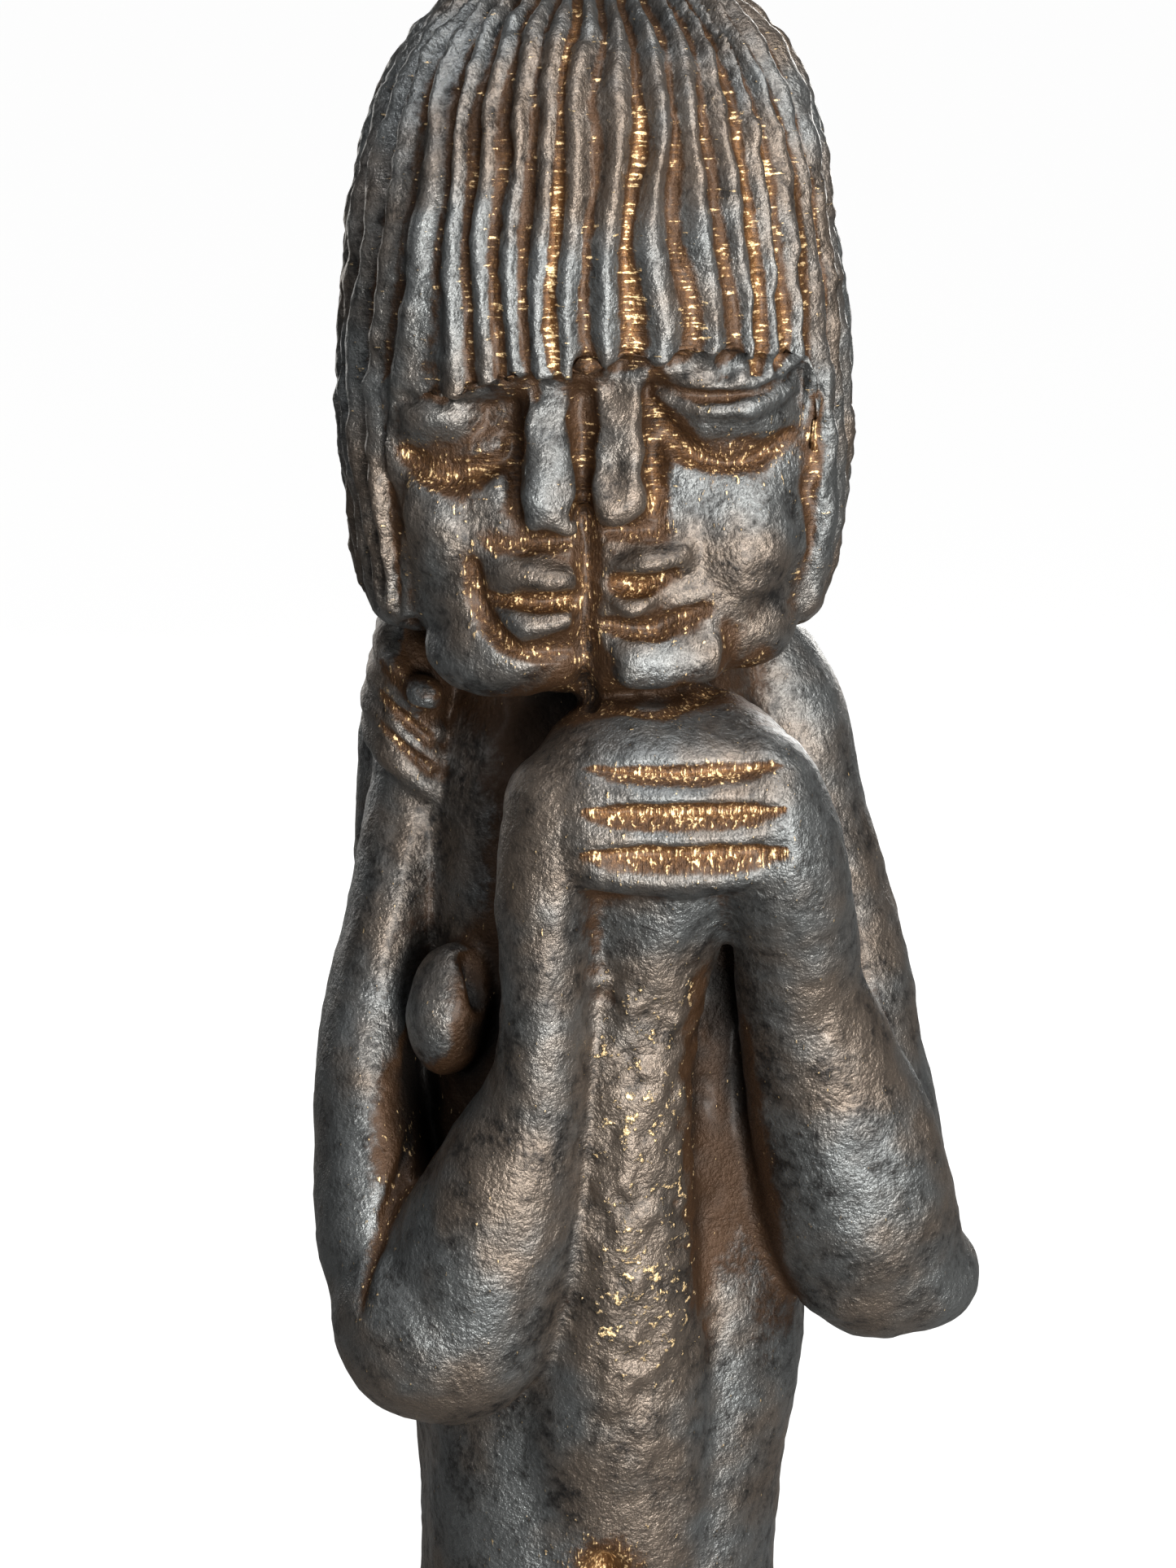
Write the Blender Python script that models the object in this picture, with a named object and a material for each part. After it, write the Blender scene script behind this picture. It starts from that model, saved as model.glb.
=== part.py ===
"""Bronze janus figure: two figures fused back to back in one casting on a low base.

The front figure has two half faces side by side under one cap of hair, and both of its arms are
bent with the hands clasped below the chin. The second figure, plainer, reaches over the shoulders.

The figure is worked as wax is: shells for the large forms are fused into one skin and smoothed,
shells for the face and hands are laid on and fused again, and then locks, fingers and creases are
pressed in along strokes. Everything on the figure is given in parts, where PARTS_HIGH parts are
the height from sole to crown; X is to the right of someone facing it, the front faces -Y.
"""
import math

import bmesh
import bpy
import numpy as np
from mathutils import Matrix, Vector

# Driving sizes, in metres
FIGURE_HEIGHT = 0.310
BASE_WIDTH = 0.058
BASE_DEPTH = 0.058
BASE_HEIGHT = 0.010
BASE_CORNER = 0.012
BASE_EDGE = 0.002
WAX_GRAIN = 0.00055
FACETS_DETAIL = 3200
FACETS_REST = 6600
SKIN_REACH = 0.7

# The figure's own measure
PARTS_HIGH = 310.0
PART = FIGURE_HEIGHT / PARTS_HIGH
BELOW_CUT = 3.0
LARGE_SOFTNESS = 1.6
SMALL_SOFTNESS = 0.6

# Hair: one cap for both faces
HAIR_LOCKS = 44
LOCK_DEPTH = 1.05
LOCK_GROOVE = 0.36
WHORL_BACK = 4.0
HAIR_HEM = 252.0
CROWN = 309.6
FRINGE = 276.6
FRINGE_RISE = 0.09

# Clasped hands
FINGER_LOW = 232.5
FINGER_PITCH = 3.75
FINGER_COUNT = 4
FINGER_LEFT = -2.2
FINGER_RIGHT = 15.0
FINGER_FRONT = -30.6
HAND_DEEP = 8.2


def clear_scene():
    """Removes every object that the scene starts with."""
    for item in list(bpy.data.objects):
        bpy.data.objects.remove(item, do_unlink=True)


def to_world(point):
    """A point of the figure, in parts above the sole, as metres in the part's frame."""
    x, y, z = point
    return Vector((x * PART, y * PART, z * PART + BASE_HEIGHT))


def catmull(rows, steps):
    """Rows of numbers along a smooth curve through the given rows."""
    rows = np.asarray(rows, float)
    ends = np.vstack([2 * rows[0] - rows[1], rows, 2 * rows[-1] - rows[-2]])
    out = []
    for k in range(1, len(ends) - 2):
        a, b, c, d = ends[k - 1:k + 3]
        for t in np.linspace(0.0, 1.0, steps, endpoint=False):
            out.append(0.5 * (2 * b + (c - a) * t + (2 * a - 5 * b + 4 * c - d) * t ** 2
                              + (3 * b - a - 3 * c + d) * t ** 3))
    out.append(rows[-1])
    return np.array(out)


def skin_rings(shells, rings):
    """Closes a stack of point rings, lowest first, into one shell."""
    loops = [[shells.verts.new(to_world(point)) for point in ring] for ring in rings]
    count = len(loops[0])
    for low, high in zip(loops, loops[1:]):
        for i in range(count):
            j = (i + 1) % count
            shells.faces.new((low[i], low[j], high[j], high[i]))
    shells.faces.new(list(reversed(loops[0])))
    shells.faces.new(loops[-1])


def blob(shells, centre, radii, turn=(0.0, 0.0, 0.0)):
    """An ellipsoid, turned in degrees about X, Y and Z."""
    spin = Matrix.Identity(4)
    for axis, angle in zip("XYZ", turn):
        spin = Matrix.Rotation(math.radians(angle), 4, axis) @ spin
    size = Matrix.Diagonal((radii[0] * PART, radii[1] * PART, radii[2] * PART, 1.0))
    bmesh.ops.create_icosphere(shells, subdivisions=4, radius=1.0,
                               matrix=Matrix.Translation(to_world(centre)) @ spin @ size)


def slab(shells, centre, halves, turn=(0.0, 0.0, 0.0), edge=0.6):
    """A block with rounded edges, turned in degrees about X, Y and Z."""
    spin = Matrix.Identity(4)
    for axis, angle in zip("XYZ", turn):
        spin = Matrix.Rotation(math.radians(angle), 4, axis) @ spin
    size = Matrix.Diagonal((2 * halves[0] * PART, 2 * halves[1] * PART, 2 * halves[2] * PART, 1.0))
    made = bmesh.ops.create_cube(shells, size=1.0,
                                 matrix=Matrix.Translation(to_world(centre)) @ spin @ size)
    edges = {e for v in made["verts"] for e in v.link_edges}
    bmesh.ops.bevel(shells, geom=list(edges), offset=edge * PART, segments=3, profile=0.5,
                    affect="EDGES")


def limb(shells, stations, sides=28, steps=6, dome=5):
    """A tapering limb; each station is x, y, z, its radius across and its radius front to back.

    Across is along X on a limb that stands, and along Z on one that lies.
    """
    path = catmull(stations, steps)
    ways = np.gradient(path[:, :3], axis=0)
    ways /= np.linalg.norm(ways, axis=1)[:, None]
    chord = path[-1, :3] - path[0, :3]
    lies = abs(chord[2]) < 0.5 * np.linalg.norm(chord)
    across = np.array([0.0, 0.0, 1.0]) if lies else np.array([1.0, 0.0, 0.0])
    turns = np.linspace(0, 2 * math.pi, sides, endpoint=False)
    rings = []

    def ring(row, way, shrink, shift):
        side = across - (across @ way) * way
        side /= np.linalg.norm(side)
        deep = np.cross(way, side)
        centre = row[:3] + way * shift
        return [centre + shrink * (row[3] * math.cos(t) * side + row[4] * math.sin(t) * deep)
                for t in turns]

    for k in range(dome):
        lift = math.radians(85 - 80 * k / (dome - 1))
        rings.append(ring(path[0], ways[0], math.cos(lift), -path[0, 3] * math.sin(lift)))
    for row, way in zip(path, ways):
        rings.append(ring(row, way, 1.0, 0.0))
    for k in reversed(range(dome)):
        lift = math.radians(85 - 80 * k / (dome - 1))
        rings.append(ring(path[-1], ways[-1], math.cos(lift), path[-1, 3] * math.sin(lift)))
    skin_rings(shells, rings)


def stack(shells, sections, sides=64, steps=5):
    """Level rounded sections, each z, x, y, half width, half depth, squareness and turn."""
    rings = []
    turns = np.linspace(0, 2 * math.pi, sides, endpoint=False)
    for z, x, y, wide, deep, square, turn in catmull(sections, steps):
        spin = math.radians(turn)
        ring = []
        for t in turns:
            across = wide * math.copysign(abs(math.cos(t)) ** (2 / square), math.cos(t))
            along = deep * math.copysign(abs(math.sin(t)) ** (2 / square), math.sin(t))
            ring.append((x + across * math.cos(spin) - along * math.sin(spin),
                         y + across * math.sin(spin) + along * math.cos(spin), z))
        rings.append(ring)
    skin_rings(shells, rings)


def new_object(name, mesh):
    """Puts a mesh in the scene as a named object."""
    item = bpy.data.objects.new(name, mesh)
    bpy.context.scene.collection.objects.link(item)
    return item


def take_mesh(item, name):
    """The object's mesh with its modifiers applied; the object itself is removed."""
    bpy.context.view_layer.update()
    mesh = bpy.data.meshes.new_from_object(item.evaluated_get(bpy.context.evaluated_depsgraph_get()))
    mesh.name = name
    bpy.data.objects.remove(item, do_unlink=True)
    return mesh


def fuse(shells, name, softness):
    """Fuses closed shells into one skin and rounds its inner corners to about softness parts."""
    mesh = bpy.data.meshes.new(name)
    shells.to_mesh(mesh)
    item = new_object(name, mesh)
    skin = item.modifiers.new("skin", "REMESH")
    skin.mode = "VOXEL"
    skin.voxel_size = WAX_GRAIN
    soft = item.modifiers.new("soft", "SMOOTH")
    soft.factor = 0.5
    soft.iterations = max(1, round(2 * (softness * PART / WAX_GRAIN) ** 2))
    return take_mesh(item, name)


def body_shells(shells):
    """Trunk, hips, the legs that touch, and two pairs of feet."""
    stack(shells, [
        (110, 0, 0.5, 11.0, 10.6, 2.2, 0), (121, 0, 0.5, 14.4, 13.2, 2.3, 1),
        (131, 0, 0.5, 17.2, 15.4, 2.5, 3),
        (141, 0, 0.4, 18.0, 16.4, 2.6, 4), (154, 0.1, 0.0, 17.2, 16.4, 2.7, 6),
        (166, 0.2, 0.0, 17.4, 16.8, 2.8, 8), (180, 0.9, 0.5, 18.6, 16.9, 2.8, 8),
        (200, 1.0, 1.0, 18.6, 17.2, 2.8, 8), (222, 0.6, 1.5, 17.6, 16.8, 2.8, 8),
        (236, 0.4, 2.0, 16.8, 15.4, 2.6, 6), (245, 0.2, 2.0, 14.6, 13.0, 2.4, 4),
        (253, 0, 1.0, 12.0, 12.0, 2.2, 0), (262, 0, 0.0, 11.0, 11.0, 2.0, 0)])
    for side in (-1, 1):
        limb(shells, [
            (side * 8.2, 0.5, 136, 9.2, 15.4), (side * 7.8, 0.0, 112, 8.8, 14.4),
            (side * 7.0, -0.6, 84, 7.4, 12.4), (side * 6.6, -1.4, 71, 7.4, 12.8),
            (side * 6.2, 0.2, 58, 6.4, 11.4), (side * 6.3, 1.6, 44, 7.0, 11.8),
            (side * 5.6, 1.0, 24, 5.4, 9.4), (side * 5.4, 0.6, 11, 5.0, 8.8),
            (side * 5.6, 0.0, 2, 5.4, 10.0)])
        limb(shells, [(side * 6.6, -17.5, 1.0, 3.2, 4.4), (side * 6.2, -12.0, 2.6, 4.4, 4.8),
                      (side * 5.6, -4.0, 5.0, 5.4, 5.0)])
        limb(shells, [(side * 6.4, 17.5, 1.0, 3.2, 4.2), (side * 6.0, 12.0, 2.4, 4.2, 4.6),
                      (side * 5.6, 4.0, 4.6, 5.2, 5.0)])
        blob(shells, (side * 7.5, 6.0, 135.0), (9.6, 11.8, 21.0))


def base_shell(shells):
    """Low base with rounded corners, carried on below the level where it is cut flat."""
    low = -BASE_HEIGHT / PART - BELOW_CUT
    rings = []
    half_x, half_y, corner = BASE_WIDTH / 2 / PART, BASE_DEPTH / 2 / PART, BASE_CORNER / PART
    edge = BASE_EDGE / PART
    for z, inset in ((low, 0.0), (-edge, 0.0), (-edge * 0.3, edge * 0.3), (0.0, edge)):
        ring = []
        for quarter in range(4):
            sx = (1, -1, -1, 1)[quarter]
            sy = (1, 1, -1, -1)[quarter]
            for k in range(7):
                angle = math.radians(90 * quarter + 15 * k)
                ring.append((sx * (half_x - corner) + (corner - inset) * math.cos(angle),
                             sy * (half_y - corner) + (corner - inset) * math.sin(angle), z))
        rings.append(ring)
    skin_rings(shells, rings)


def front_arms(shells):
    """The front figure's bent arms: upper arms at the sides, forearms rising to the hands."""
    limb(shells, [(-16.0, -1, 240.0, 4.0, 5.4), (-16.9, -2, 234.0, 4.1, 5.8),
                  (-18.9, -4, 225.0, 4.3, 6.0), (-21.0, -6, 215.0, 4.4, 6.2),
                  (-21.7, -8, 209.0, 4.8, 6.4), (-21.2, -10, 201.0, 5.4, 6.8),
                  (-20.8, -12, 194.0, 5.6, 7.0), (-18.6, -14, 188.5, 5.8, 7.2)])
    limb(shells, [(-12.6, -17, 188.0, 8.6, 9.0), (-10.6, -19, 196.0, 8.2, 8.2),
                  (-8.4, -21, 204.5, 6.6, 6.6), (-6.6, -22, 210.5, 5.0, 5.4),
                  (-5.7, -23.5, 216.5, 4.2, 4.8), (-5.6, -24, 224.0, 4.1, 4.7),
                  (-5.4, -24, 231.5, 4.6, 5.0), (-4.2, -23.5, 239.0, 4.8, 5.6)])
    blob(shells, (-14.8, -16.5, 187.8), (10.2, 9.6, 10.2))
    limb(shells, [(15.8, 3, 244.0, 5.6, 6.6), (18.0, 2.5, 239.0, 5.7, 6.8),
                  (19.9, 2, 231.0, 5.7, 6.9), (21.9, 1, 224.0, 5.7, 7.0),
                  (23.8, 0, 217.0, 5.7, 7.2), (25.0, -2, 208.8, 5.8, 7.4),
                  (26.4, -4, 200.0, 6.2, 7.6), (28.2, -7, 190.4, 6.0, 7.4)])
    limb(shells, [(26.4, -10.5, 190.4, 8.2, 7.4), (24.2, -12, 196.0, 9.2, 8.2),
                  (22.3, -14, 204.0, 8.6, 7.8), (19.8, -16, 212.4, 7.3, 6.6),
                  (17.8, -18.5, 219.4, 6.0, 5.6), (16.8, -21, 226.4, 5.6, 5.4),
                  (15.2, -23.6, 233.6, 6.0, 5.8), (12.8, -24, 240.0, 6.0, 6.0)])
    blob(shells, (29.4, -8.6, 187.6), (6.8, 7.6, 5.0), (0, -14, 0))
    blob(shells, (24.0, -10.4, 188.8), (6.8, 7.4, 4.6), (0, 14, 0))


def chest_shell(shells):
    """The chest, full between the forearms and nearly flush with the left one."""
    limb(shells, [(1.2, -13.4, 164, 9.0, 5.0), (1.8, -15.4, 180, 8.6, 6.2),
                  (2.4, -17.2, 196, 7.8, 6.4), (2.8, -18.2, 212, 7.2, 6.2),
                  (3.6, -19.4, 224, 7.4, 5.8), (4.8, -21.4, 233, 8.4, 5.8)])


def back_arms(shells):
    """The second figure's arms, plainer, with their elbows low at the back."""
    for side, lift in ((-1, 0.0), (1, -3.0)):
        limb(shells, [(side * 13.5, 9, 240 + lift, 5.0, 5.0), (side * 15.5, 12, 228 + lift, 5.0, 5.2),
                      (side * 17.0, 15, 212 + lift, 5.2, 5.4), (side * 17.5, 17, 200 + lift, 5.8, 6.0)])
        limb(shells, [(side * 18.0, 15, 200 + lift, 5.6, 6.0), (side * 19.0, 11, 212 + lift, 4.8, 5.2),
                      (side * 18.6, 7, 226 + lift, 4.3, 4.6), (side * 18.0, 3.5, 240 + lift, 4.2, 4.4)])
        blob(shells, (side * 17.4, 17.0, 198 + lift), (6.4, 6.4, 6.6))


def head_shells(shells):
    """The head inside the hair, with the width of jaw that both half faces share."""
    stack(shells, [
        (246.6, 0, -9.5, 6.6, 7.6, 2.2, 0), (249, 0, -9.0, 13.2, 11.4, 2.5, 0),
        (254, 0, -8.0, 17.2, 13.2, 2.9, 0), (260, 0, -7.0, 19.2, 14.1, 3.1, 0),
        (266, 0, -6.0, 20.0, 14.4, 3.3, 0), (272, 0, -5.0, 20.4, 14.0, 3.4, 0),
        (281, 0, -4.0, 20.4, 15.2, 3.2, 0), (292, 0, -2.0, 16.0, 14.0, 2.4, 0)])


def hair_shell():
    """The cap of hair, open at the front in a window with a blunt fringe over both brows."""
    shells = bmesh.new()
    stack(shells, [
        (250.9, -0.2, 2.5, 18.4, 19.0, 2.6, 0), (251.9, -0.2, 2.0, 20.4, 21.4, 2.6, 0),
        (254, -0.2, 1.4, 21.6, 22.4, 2.6, 0), (260, -0.2, 0.8, 22.6, 23.2, 2.6, 0),
        (267, -0.2, 0.4, 23.3, 23.8, 2.6, 0), (274, -0.3, 0.1, 23.1, 24.1, 2.6, 0),
        (281, -0.4, 0.0, 22.5, 24.0, 2.5, 0), (289, -0.5, 0.0, 21.4, 23.0, 2.4, 0),
        (296, -0.4, 0.2, 19.8, 21.2, 2.3, 0), (301, -0.1, 0.6, 17.6, 18.8, 2.2, 0),
        (304.6, 0.1, 1.0, 14.8, 15.8, 2.1, 0), (307.2, 0.2, 1.4, 11.2, 12.0, 2.0, 0),
        (308.8, 0.2, 1.8, 7.2, 7.8, 2.0, 0), (CROWN, 0.2, 2.0, 2.8, 3.0, 2.0, 0)])
    mesh = bpy.data.meshes.new("hair")
    shells.to_mesh(mesh)
    shells.free()
    hair = new_object("hair", mesh)

    outline = [(-17.6, 244), (-17.9, 256), (-18.3, 266), (-18.6, 272), (-18.0, 274.4),
               (-15.5, 275.6), (-10.0, 276.4), (-5.0, 277.0), (-1.0, 277.8), (4.0, 278.6),
               (10.0, 278.9), (15.0, 278.4), (17.6, 276.8), (18.2, 273), (18.1, 264),
               (17.9, 254), (17.6, 244)]
    window = bmesh.new()
    front = [window.verts.new(to_world((x, -40, z))) for x, z in outline]
    face = window.faces.new(front)
    deep = bmesh.ops.extrude_face_region(window, geom=[face])
    moved = [v for v in deep["geom"] if isinstance(v, bmesh.types.BMVert)]
    bmesh.ops.translate(window, verts=moved, vec=(0, 31 * PART, 0))
    bmesh.ops.recalc_face_normals(window, faces=window.faces)
    cutter_mesh = bpy.data.meshes.new("window")
    window.to_mesh(cutter_mesh)
    window.free()
    cutter = new_object("window", cutter_mesh)
    cut = hair.modifiers.new("window", "BOOLEAN")
    cut.operation = "DIFFERENCE"
    cut.object = cutter
    mesh = take_mesh(hair, "hair")
    bpy.data.objects.remove(cutter, do_unlink=True)
    return mesh


def face_shells(shells):
    """Two half faces: on each a flat nose beside the seam, a lowered lid, lips and a chin."""
    slab(shells, (-5.1, -19.7, 269.6), (2.1, 3.3, 6.2), (-9, 0, 4), 0.5)
    slab(shells, (1.3, -19.7, 270.3), (2.2, 3.3, 5.9), (-9, 0, -4), 0.5)
    blob(shells, (-13.4, -15.9, 272.3), (5.2, 4.0, 3.1), (0, -4, -18))
    blob(shells, (10.3, -16.3, 271.7), (6.8, 4.2, 3.1), (0, 3, 13))
    limb(shells, [(4.6, -19.0, 275.4, 0.9, 1.3), (8.4, -19.4, 274.9, 1.1, 1.7),
                  (12.6, -18.6, 275.3, 1.1, 1.7), (16.4, -16.0, 276.2, 0.9, 1.4)])
    limb(shells, [(-10.2, -18.8, 258.2, 0.9, 1.3), (-7.6, -20.3, 258.7, 1.3, 2.1),
                  (-4.8, -20.9, 258.5, 1.3, 2.0), (-2.9, -21.0, 258.0, 0.9, 1.4)])
    limb(shells, [(-9.2, -19.2, 254.8, 0.9, 1.4), (-6.8, -20.4, 254.2, 1.3, 2.1),
                  (-3.4, -21.0, 254.8, 1.0, 1.6)])
    limb(shells, [(1.0, -21.2, 259.2, 0.7, 1.4), (3.6, -20.9, 260.0, 1.2, 1.9),
                  (6.4, -20.1, 260.8, 1.4, 1.9)])
    limb(shells, [(1.0, -21.2, 256.5, 0.8, 1.4), (2.8, -21.2, 256.3, 1.1, 1.8),
                  (4.6, -20.8, 256.8, 0.8, 1.3)])
    blob(shells, (-8.0, -15.9, 251.6), (7.8, 5.6, 5.0), (0, -6, -12))
    slab(shells, (5.2, -17.3, 250.7), (5.3, 4.8, 3.0), (4, -3, 8), 2.0)
    blob(shells, (11.6, -14.6, 253.6), (5.6, 4.6, 5.0), (0, 20, 14))
    blob(shells, (11.4, -16.6, 260.8), (5.6, 4.4, 6.6), (0, 8, 16))
    blob(shells, (-13.6, -16.0, 262.4), (4.4, 4.2, 6.4), (0, -8, -18))


def hand_shells(shells):
    """The clasped hands below the chin, and the second figure's hands on the shoulders."""
    middle = (FINGER_LEFT + FINGER_RIGHT) / 2 - 0.8
    deep = HAND_DEEP
    centre_y = FINGER_FRONT + deep
    stack(shells, [
        (231.6, middle + 0.4, centre_y + 0.6, 9.0, deep - 2.2, 2.6, 0),
        (233.6, middle + 0.2, centre_y, 12.0, deep - 0.5, 2.7, 0),
        (238.0, middle, centre_y, 13.0, deep, 2.7, 0),
        (242.0, middle - 0.2, centre_y + 0.4, 12.2, deep, 2.6, 0),
        (245.0, middle - 0.2, centre_y + 1.6, 10.4, deep - 0.4, 2.5, 0),
        (246.9, middle - 0.2, centre_y + 3.2, 8.2, deep - 1.4, 2.4, 0),
        (248.0, middle, centre_y + 5.0, 5.6, deep - 3.0, 2.2, 0)])
    blob(shells, (-17.0, -2.4, 244.2), (4.4, 5.6, 7.2), (0, 4, 0))
    for k, out in enumerate((0.0, 0.7, 1.1, 0.9)):
        drop = 2.7 * k
        limb(shells, [(-19.0 - out, -0.6, 249.6 - drop, 1.4, 1.5),
                      (-19.2 - out, -4.6, 248.4 - drop, 1.5, 1.5),
                      (-17.8 - 0.5 * out, -7.2, 246.3 - drop, 1.4, 1.5),
                      (-15.2, -7.0, 243.8 - drop, 1.2, 1.3)])
    blob(shells, (-15.9, -9.4, 245.3), (1.9, 2.1, 1.7))
    blob(shells, (17.4, 7.0, 241.0), (4.4, 5.0, 6.0))


def breast_shell(shells):
    """The breast between the near upper arm and forearm."""
    blob(shells, (-13.8, -13.6, 216.8), (4.0, 4.4, 6.4), (0, 8, 0))


def on_skin(points, stroke):
    """The stroke with its rows moved along Y onto the skin, at the front or at the back."""
    rows = np.array(stroke, float)
    for row in rows:
        near = np.hypot(points[:, 0] - row[0], points[:, 2] - row[2]) < SKIN_REACH
        column = points[near, 1]
        row[1] = column.min() if row[1] < 0 else column.max()
    return rows


def pressed(points, normals, strokes):
    """Presses strokes into the wax; a stroke's rows are x, y, z, its half width and its depth."""
    out = points.copy()
    for stroke in strokes:
        rows = on_skin(points, stroke)
        line, halves, depths = rows[:, :3], rows[:, 3], rows[:, 4]
        rim = halves.max()
        near = np.all((points > line.min(0) - rim) & (points < line.max(0) + rim), axis=1)
        index = np.nonzero(near)[0]
        spots = points[index]
        push = np.zeros(len(index))
        for k in range(len(rows) - 1):
            way = line[k + 1] - line[k]
            t = np.clip(((spots - line[k]) @ way) / (way @ way), 0.0, 1.0)
            gap = np.linalg.norm(spots - (line[k] + t[:, None] * way), axis=1)
            half = halves[k] + t * (halves[k + 1] - halves[k])
            depth = depths[k] + t * (depths[k + 1] - depths[k])
            push = np.maximum(push, depth * step_up(1.0 - gap / half, 0.0, 1.0))
        out[index] -= normals[index] * push[:, None]
    return out


def step_up(value, low, high):
    """A smooth step from 0 at low to 1 at high."""
    share = np.clip((value - low) / (high - low), 0.0, 1.0)
    return share * share * (3 - 2 * share)


def hair_mask(points):
    """How far each point lies on the hair and not on the face or shoulders."""
    x, y, z = points.T
    fringe = FRINGE + FRINGE_RISE * x
    above = step_up(z, fringe, fringe + 0.8)
    out = (np.abs(x / 22.9) ** 2.6 + np.abs((y - 0.4) / 23.8) ** 2.6) ** (1 / 2.6)
    window = step_up(-y, 7.0, 10.0) * step_up(-np.abs(x), -18.4, -17.4)
    beside = step_up(out, 0.90, 0.95) * (1.0 - window)
    return np.maximum(above, beside) * step_up(z, HAIR_HEM - 1.2, HAIR_HEM + 0.4)


def lock_grooves(points):
    """Depth of the grooves between the locks, which run from the whorl down to the hem."""
    x, y, z = points.T
    lift = step_up(z, 280.0, CROWN)
    back = WHORL_BACK * lift
    angle = np.arctan2(x, -(y - back))
    reach = np.hypot(x, y - back)
    wave = 0.16 * np.sin(z / 8.5 + 5.0 * angle) + 0.12 * np.sin(z / 5.1 - 3.0 * angle + 1.3)
    wave += 0.35 * np.sin(3.0 * angle + 0.4) + 0.22 * np.sin(7.0 * angle + 2.1)
    turn = angle * HAIR_LOCKS / (2 * math.pi) + wave
    number = np.round(turn)
    off = np.abs(turn - number)
    groove = 1.0 - step_up(off, 0.0, LOCK_GROOVE)
    fade_low = np.where(number % 2 == 0, 3.0, 9.0)
    fade = step_up(reach, fade_low, fade_low + 5.0)
    return LOCK_DEPTH * groove * fade * hair_mask(points)


def finger_strokes():
    """Lens-shaped grooves between the clasped fingers."""
    strokes = []
    span = FINGER_RIGHT - FINGER_LEFT
    for k in range(1, FINGER_COUNT):
        z = FINGER_LOW + FINGER_PITCH * k
        strokes.append([
            (FINGER_LEFT, FINGER_FRONT, z, 0.7, 0.4),
            (FINGER_LEFT + 0.2 * span, FINGER_FRONT, z, 1.7, 1.4),
            (FINGER_LEFT + 0.5 * span, FINGER_FRONT, z - 0.1, 1.9, 1.6),
            (FINGER_LEFT + 0.8 * span, FINGER_FRONT, z, 1.7, 1.4),
            (FINGER_RIGHT, FINGER_FRONT, z + 0.1, 0.7, 0.4)])
    return strokes


def crease_strokes():
    """Seam between the half faces, lid and mouth creases, navel, spine and leg lines."""
    seam = [(-1.95, -19.6, 277.0, 1.0, 1.0), (-1.95, -19.6, 266.0, 1.0, 1.2),
            (-1.9, -20.6, 262.0, 1.5, 1.3), (-1.4, -21.0, 257.0, 1.4, 1.2),
            (-1.9, -20.6, 251.5, 1.5, 1.7), (-1.9, -18.5, 247.2, 1.4, 1.4)]
    return [
        seam,
        [(-17.8, -13.4, 270.4, 1.2, 0.6), (-15.4, -16.6, 268.4, 1.8, 1.2),
         (-12.0, -18.8, 268.0, 1.8, 1.2), (-9.0, -19.6, 269.4, 1.4, 0.9)],
        [(4.4, -19.8, 271.0, 1.3, 0.8), (7.6, -19.8, 268.4, 1.9, 1.2),
         (12.0, -18.0, 267.8, 1.9, 1.2), (16.6, -13.6, 269.8, 1.2, 0.6)],
        [(-8.4, -20.0, 275.0, 1.5, 0.9), (-8.2, -19.8, 270.0, 1.7, 1.0),
         (-8.4, -20.2, 265.0, 1.4, 0.6)],
        [(-10.8, -19.0, 259.6, 1.3, 0.7), (-11.2, -18.8, 256.6, 1.7, 1.3),
         (-9.4, -19.8, 252.6, 1.4, 1.0), (-4.6, -20.8, 251.8, 1.2, 0.7)],
        [(0.6, -21.0, 253.9, 1.0, 0.7), (4.6, -21.0, 254.4, 1.3, 0.9),
         (9.0, -19.0, 255.6, 1.2, 0.6)],
        [(-5.0, -21.0, 262.4, 1.4, 0.7), (-9.6, -19.8, 262.2, 1.2, 0.3)],
        [(-11.6, -15.0, 222.0, 1.6, 1.8), (-10.9, -15.0, 219.0, 1.6, 1.8)],
        [(0.2, -16.6, 160.6, 2.4, 2.0), (0.2, -16.8, 162.6, 2.4, 2.0)],
        [(0, 19, 236, 2.0, 0.3), (0, 19, 205, 2.6, 1.2), (0, 18, 165, 2.6, 1.2),
         (0, 19, 138, 1.6, 1.0)],
        [(-20, -18, 193.5, 1.2, 0.4), (-19, -19, 198.5, 1.4, 0.8), (-16, -20, 203.5, 1.2, 0.6)],
    ]


def carve(mesh):
    """Presses locks, fingers and creases into the fused skin."""
    count = len(mesh.vertices)
    points = np.empty(count * 3)
    normals = np.empty(count * 3)
    mesh.vertices.foreach_get("co", points)
    mesh.vertices.foreach_get("normal", normals)
    points = points.reshape(-1, 3)
    normals = normals.reshape(-1, 3)
    parts = (points - np.array([0, 0, BASE_HEIGHT])) / PART
    parts = parts - normals * lock_grooves(parts)[:, None]
    parts = pressed(parts, normals, finger_strokes() + crease_strokes())
    mesh.vertices.foreach_set("co", (parts * PART + np.array([0, 0, BASE_HEIGHT])).ravel())
    mesh.update()


def mark_detail(figure):
    """Marks the faces and the front hands as a vertex group and counts the triangles there."""
    mesh = figure.data
    points = np.empty(len(mesh.vertices) * 3)
    mesh.vertices.foreach_get("co", points)
    x, y, z = ((points.reshape(-1, 3) - np.array([0, 0, BASE_HEIGHT])) / PART).T
    face = (y < -10) & (np.abs(x) < 17.8) & (z > HAIR_HEM - 6) & (z < FRINGE)
    hands = (y < -22) & (x > -8) & (z > FINGER_LOW - 1) & (z < HAIR_HEM)
    marked = face | hands
    detail = figure.vertex_groups.new(name="detail")
    detail.add(np.nonzero(marked)[0].tolist(), 1.0, "REPLACE")
    return sum(len(p.vertices) - 2 for p in mesh.polygons if marked[p.vertices[0]])


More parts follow.
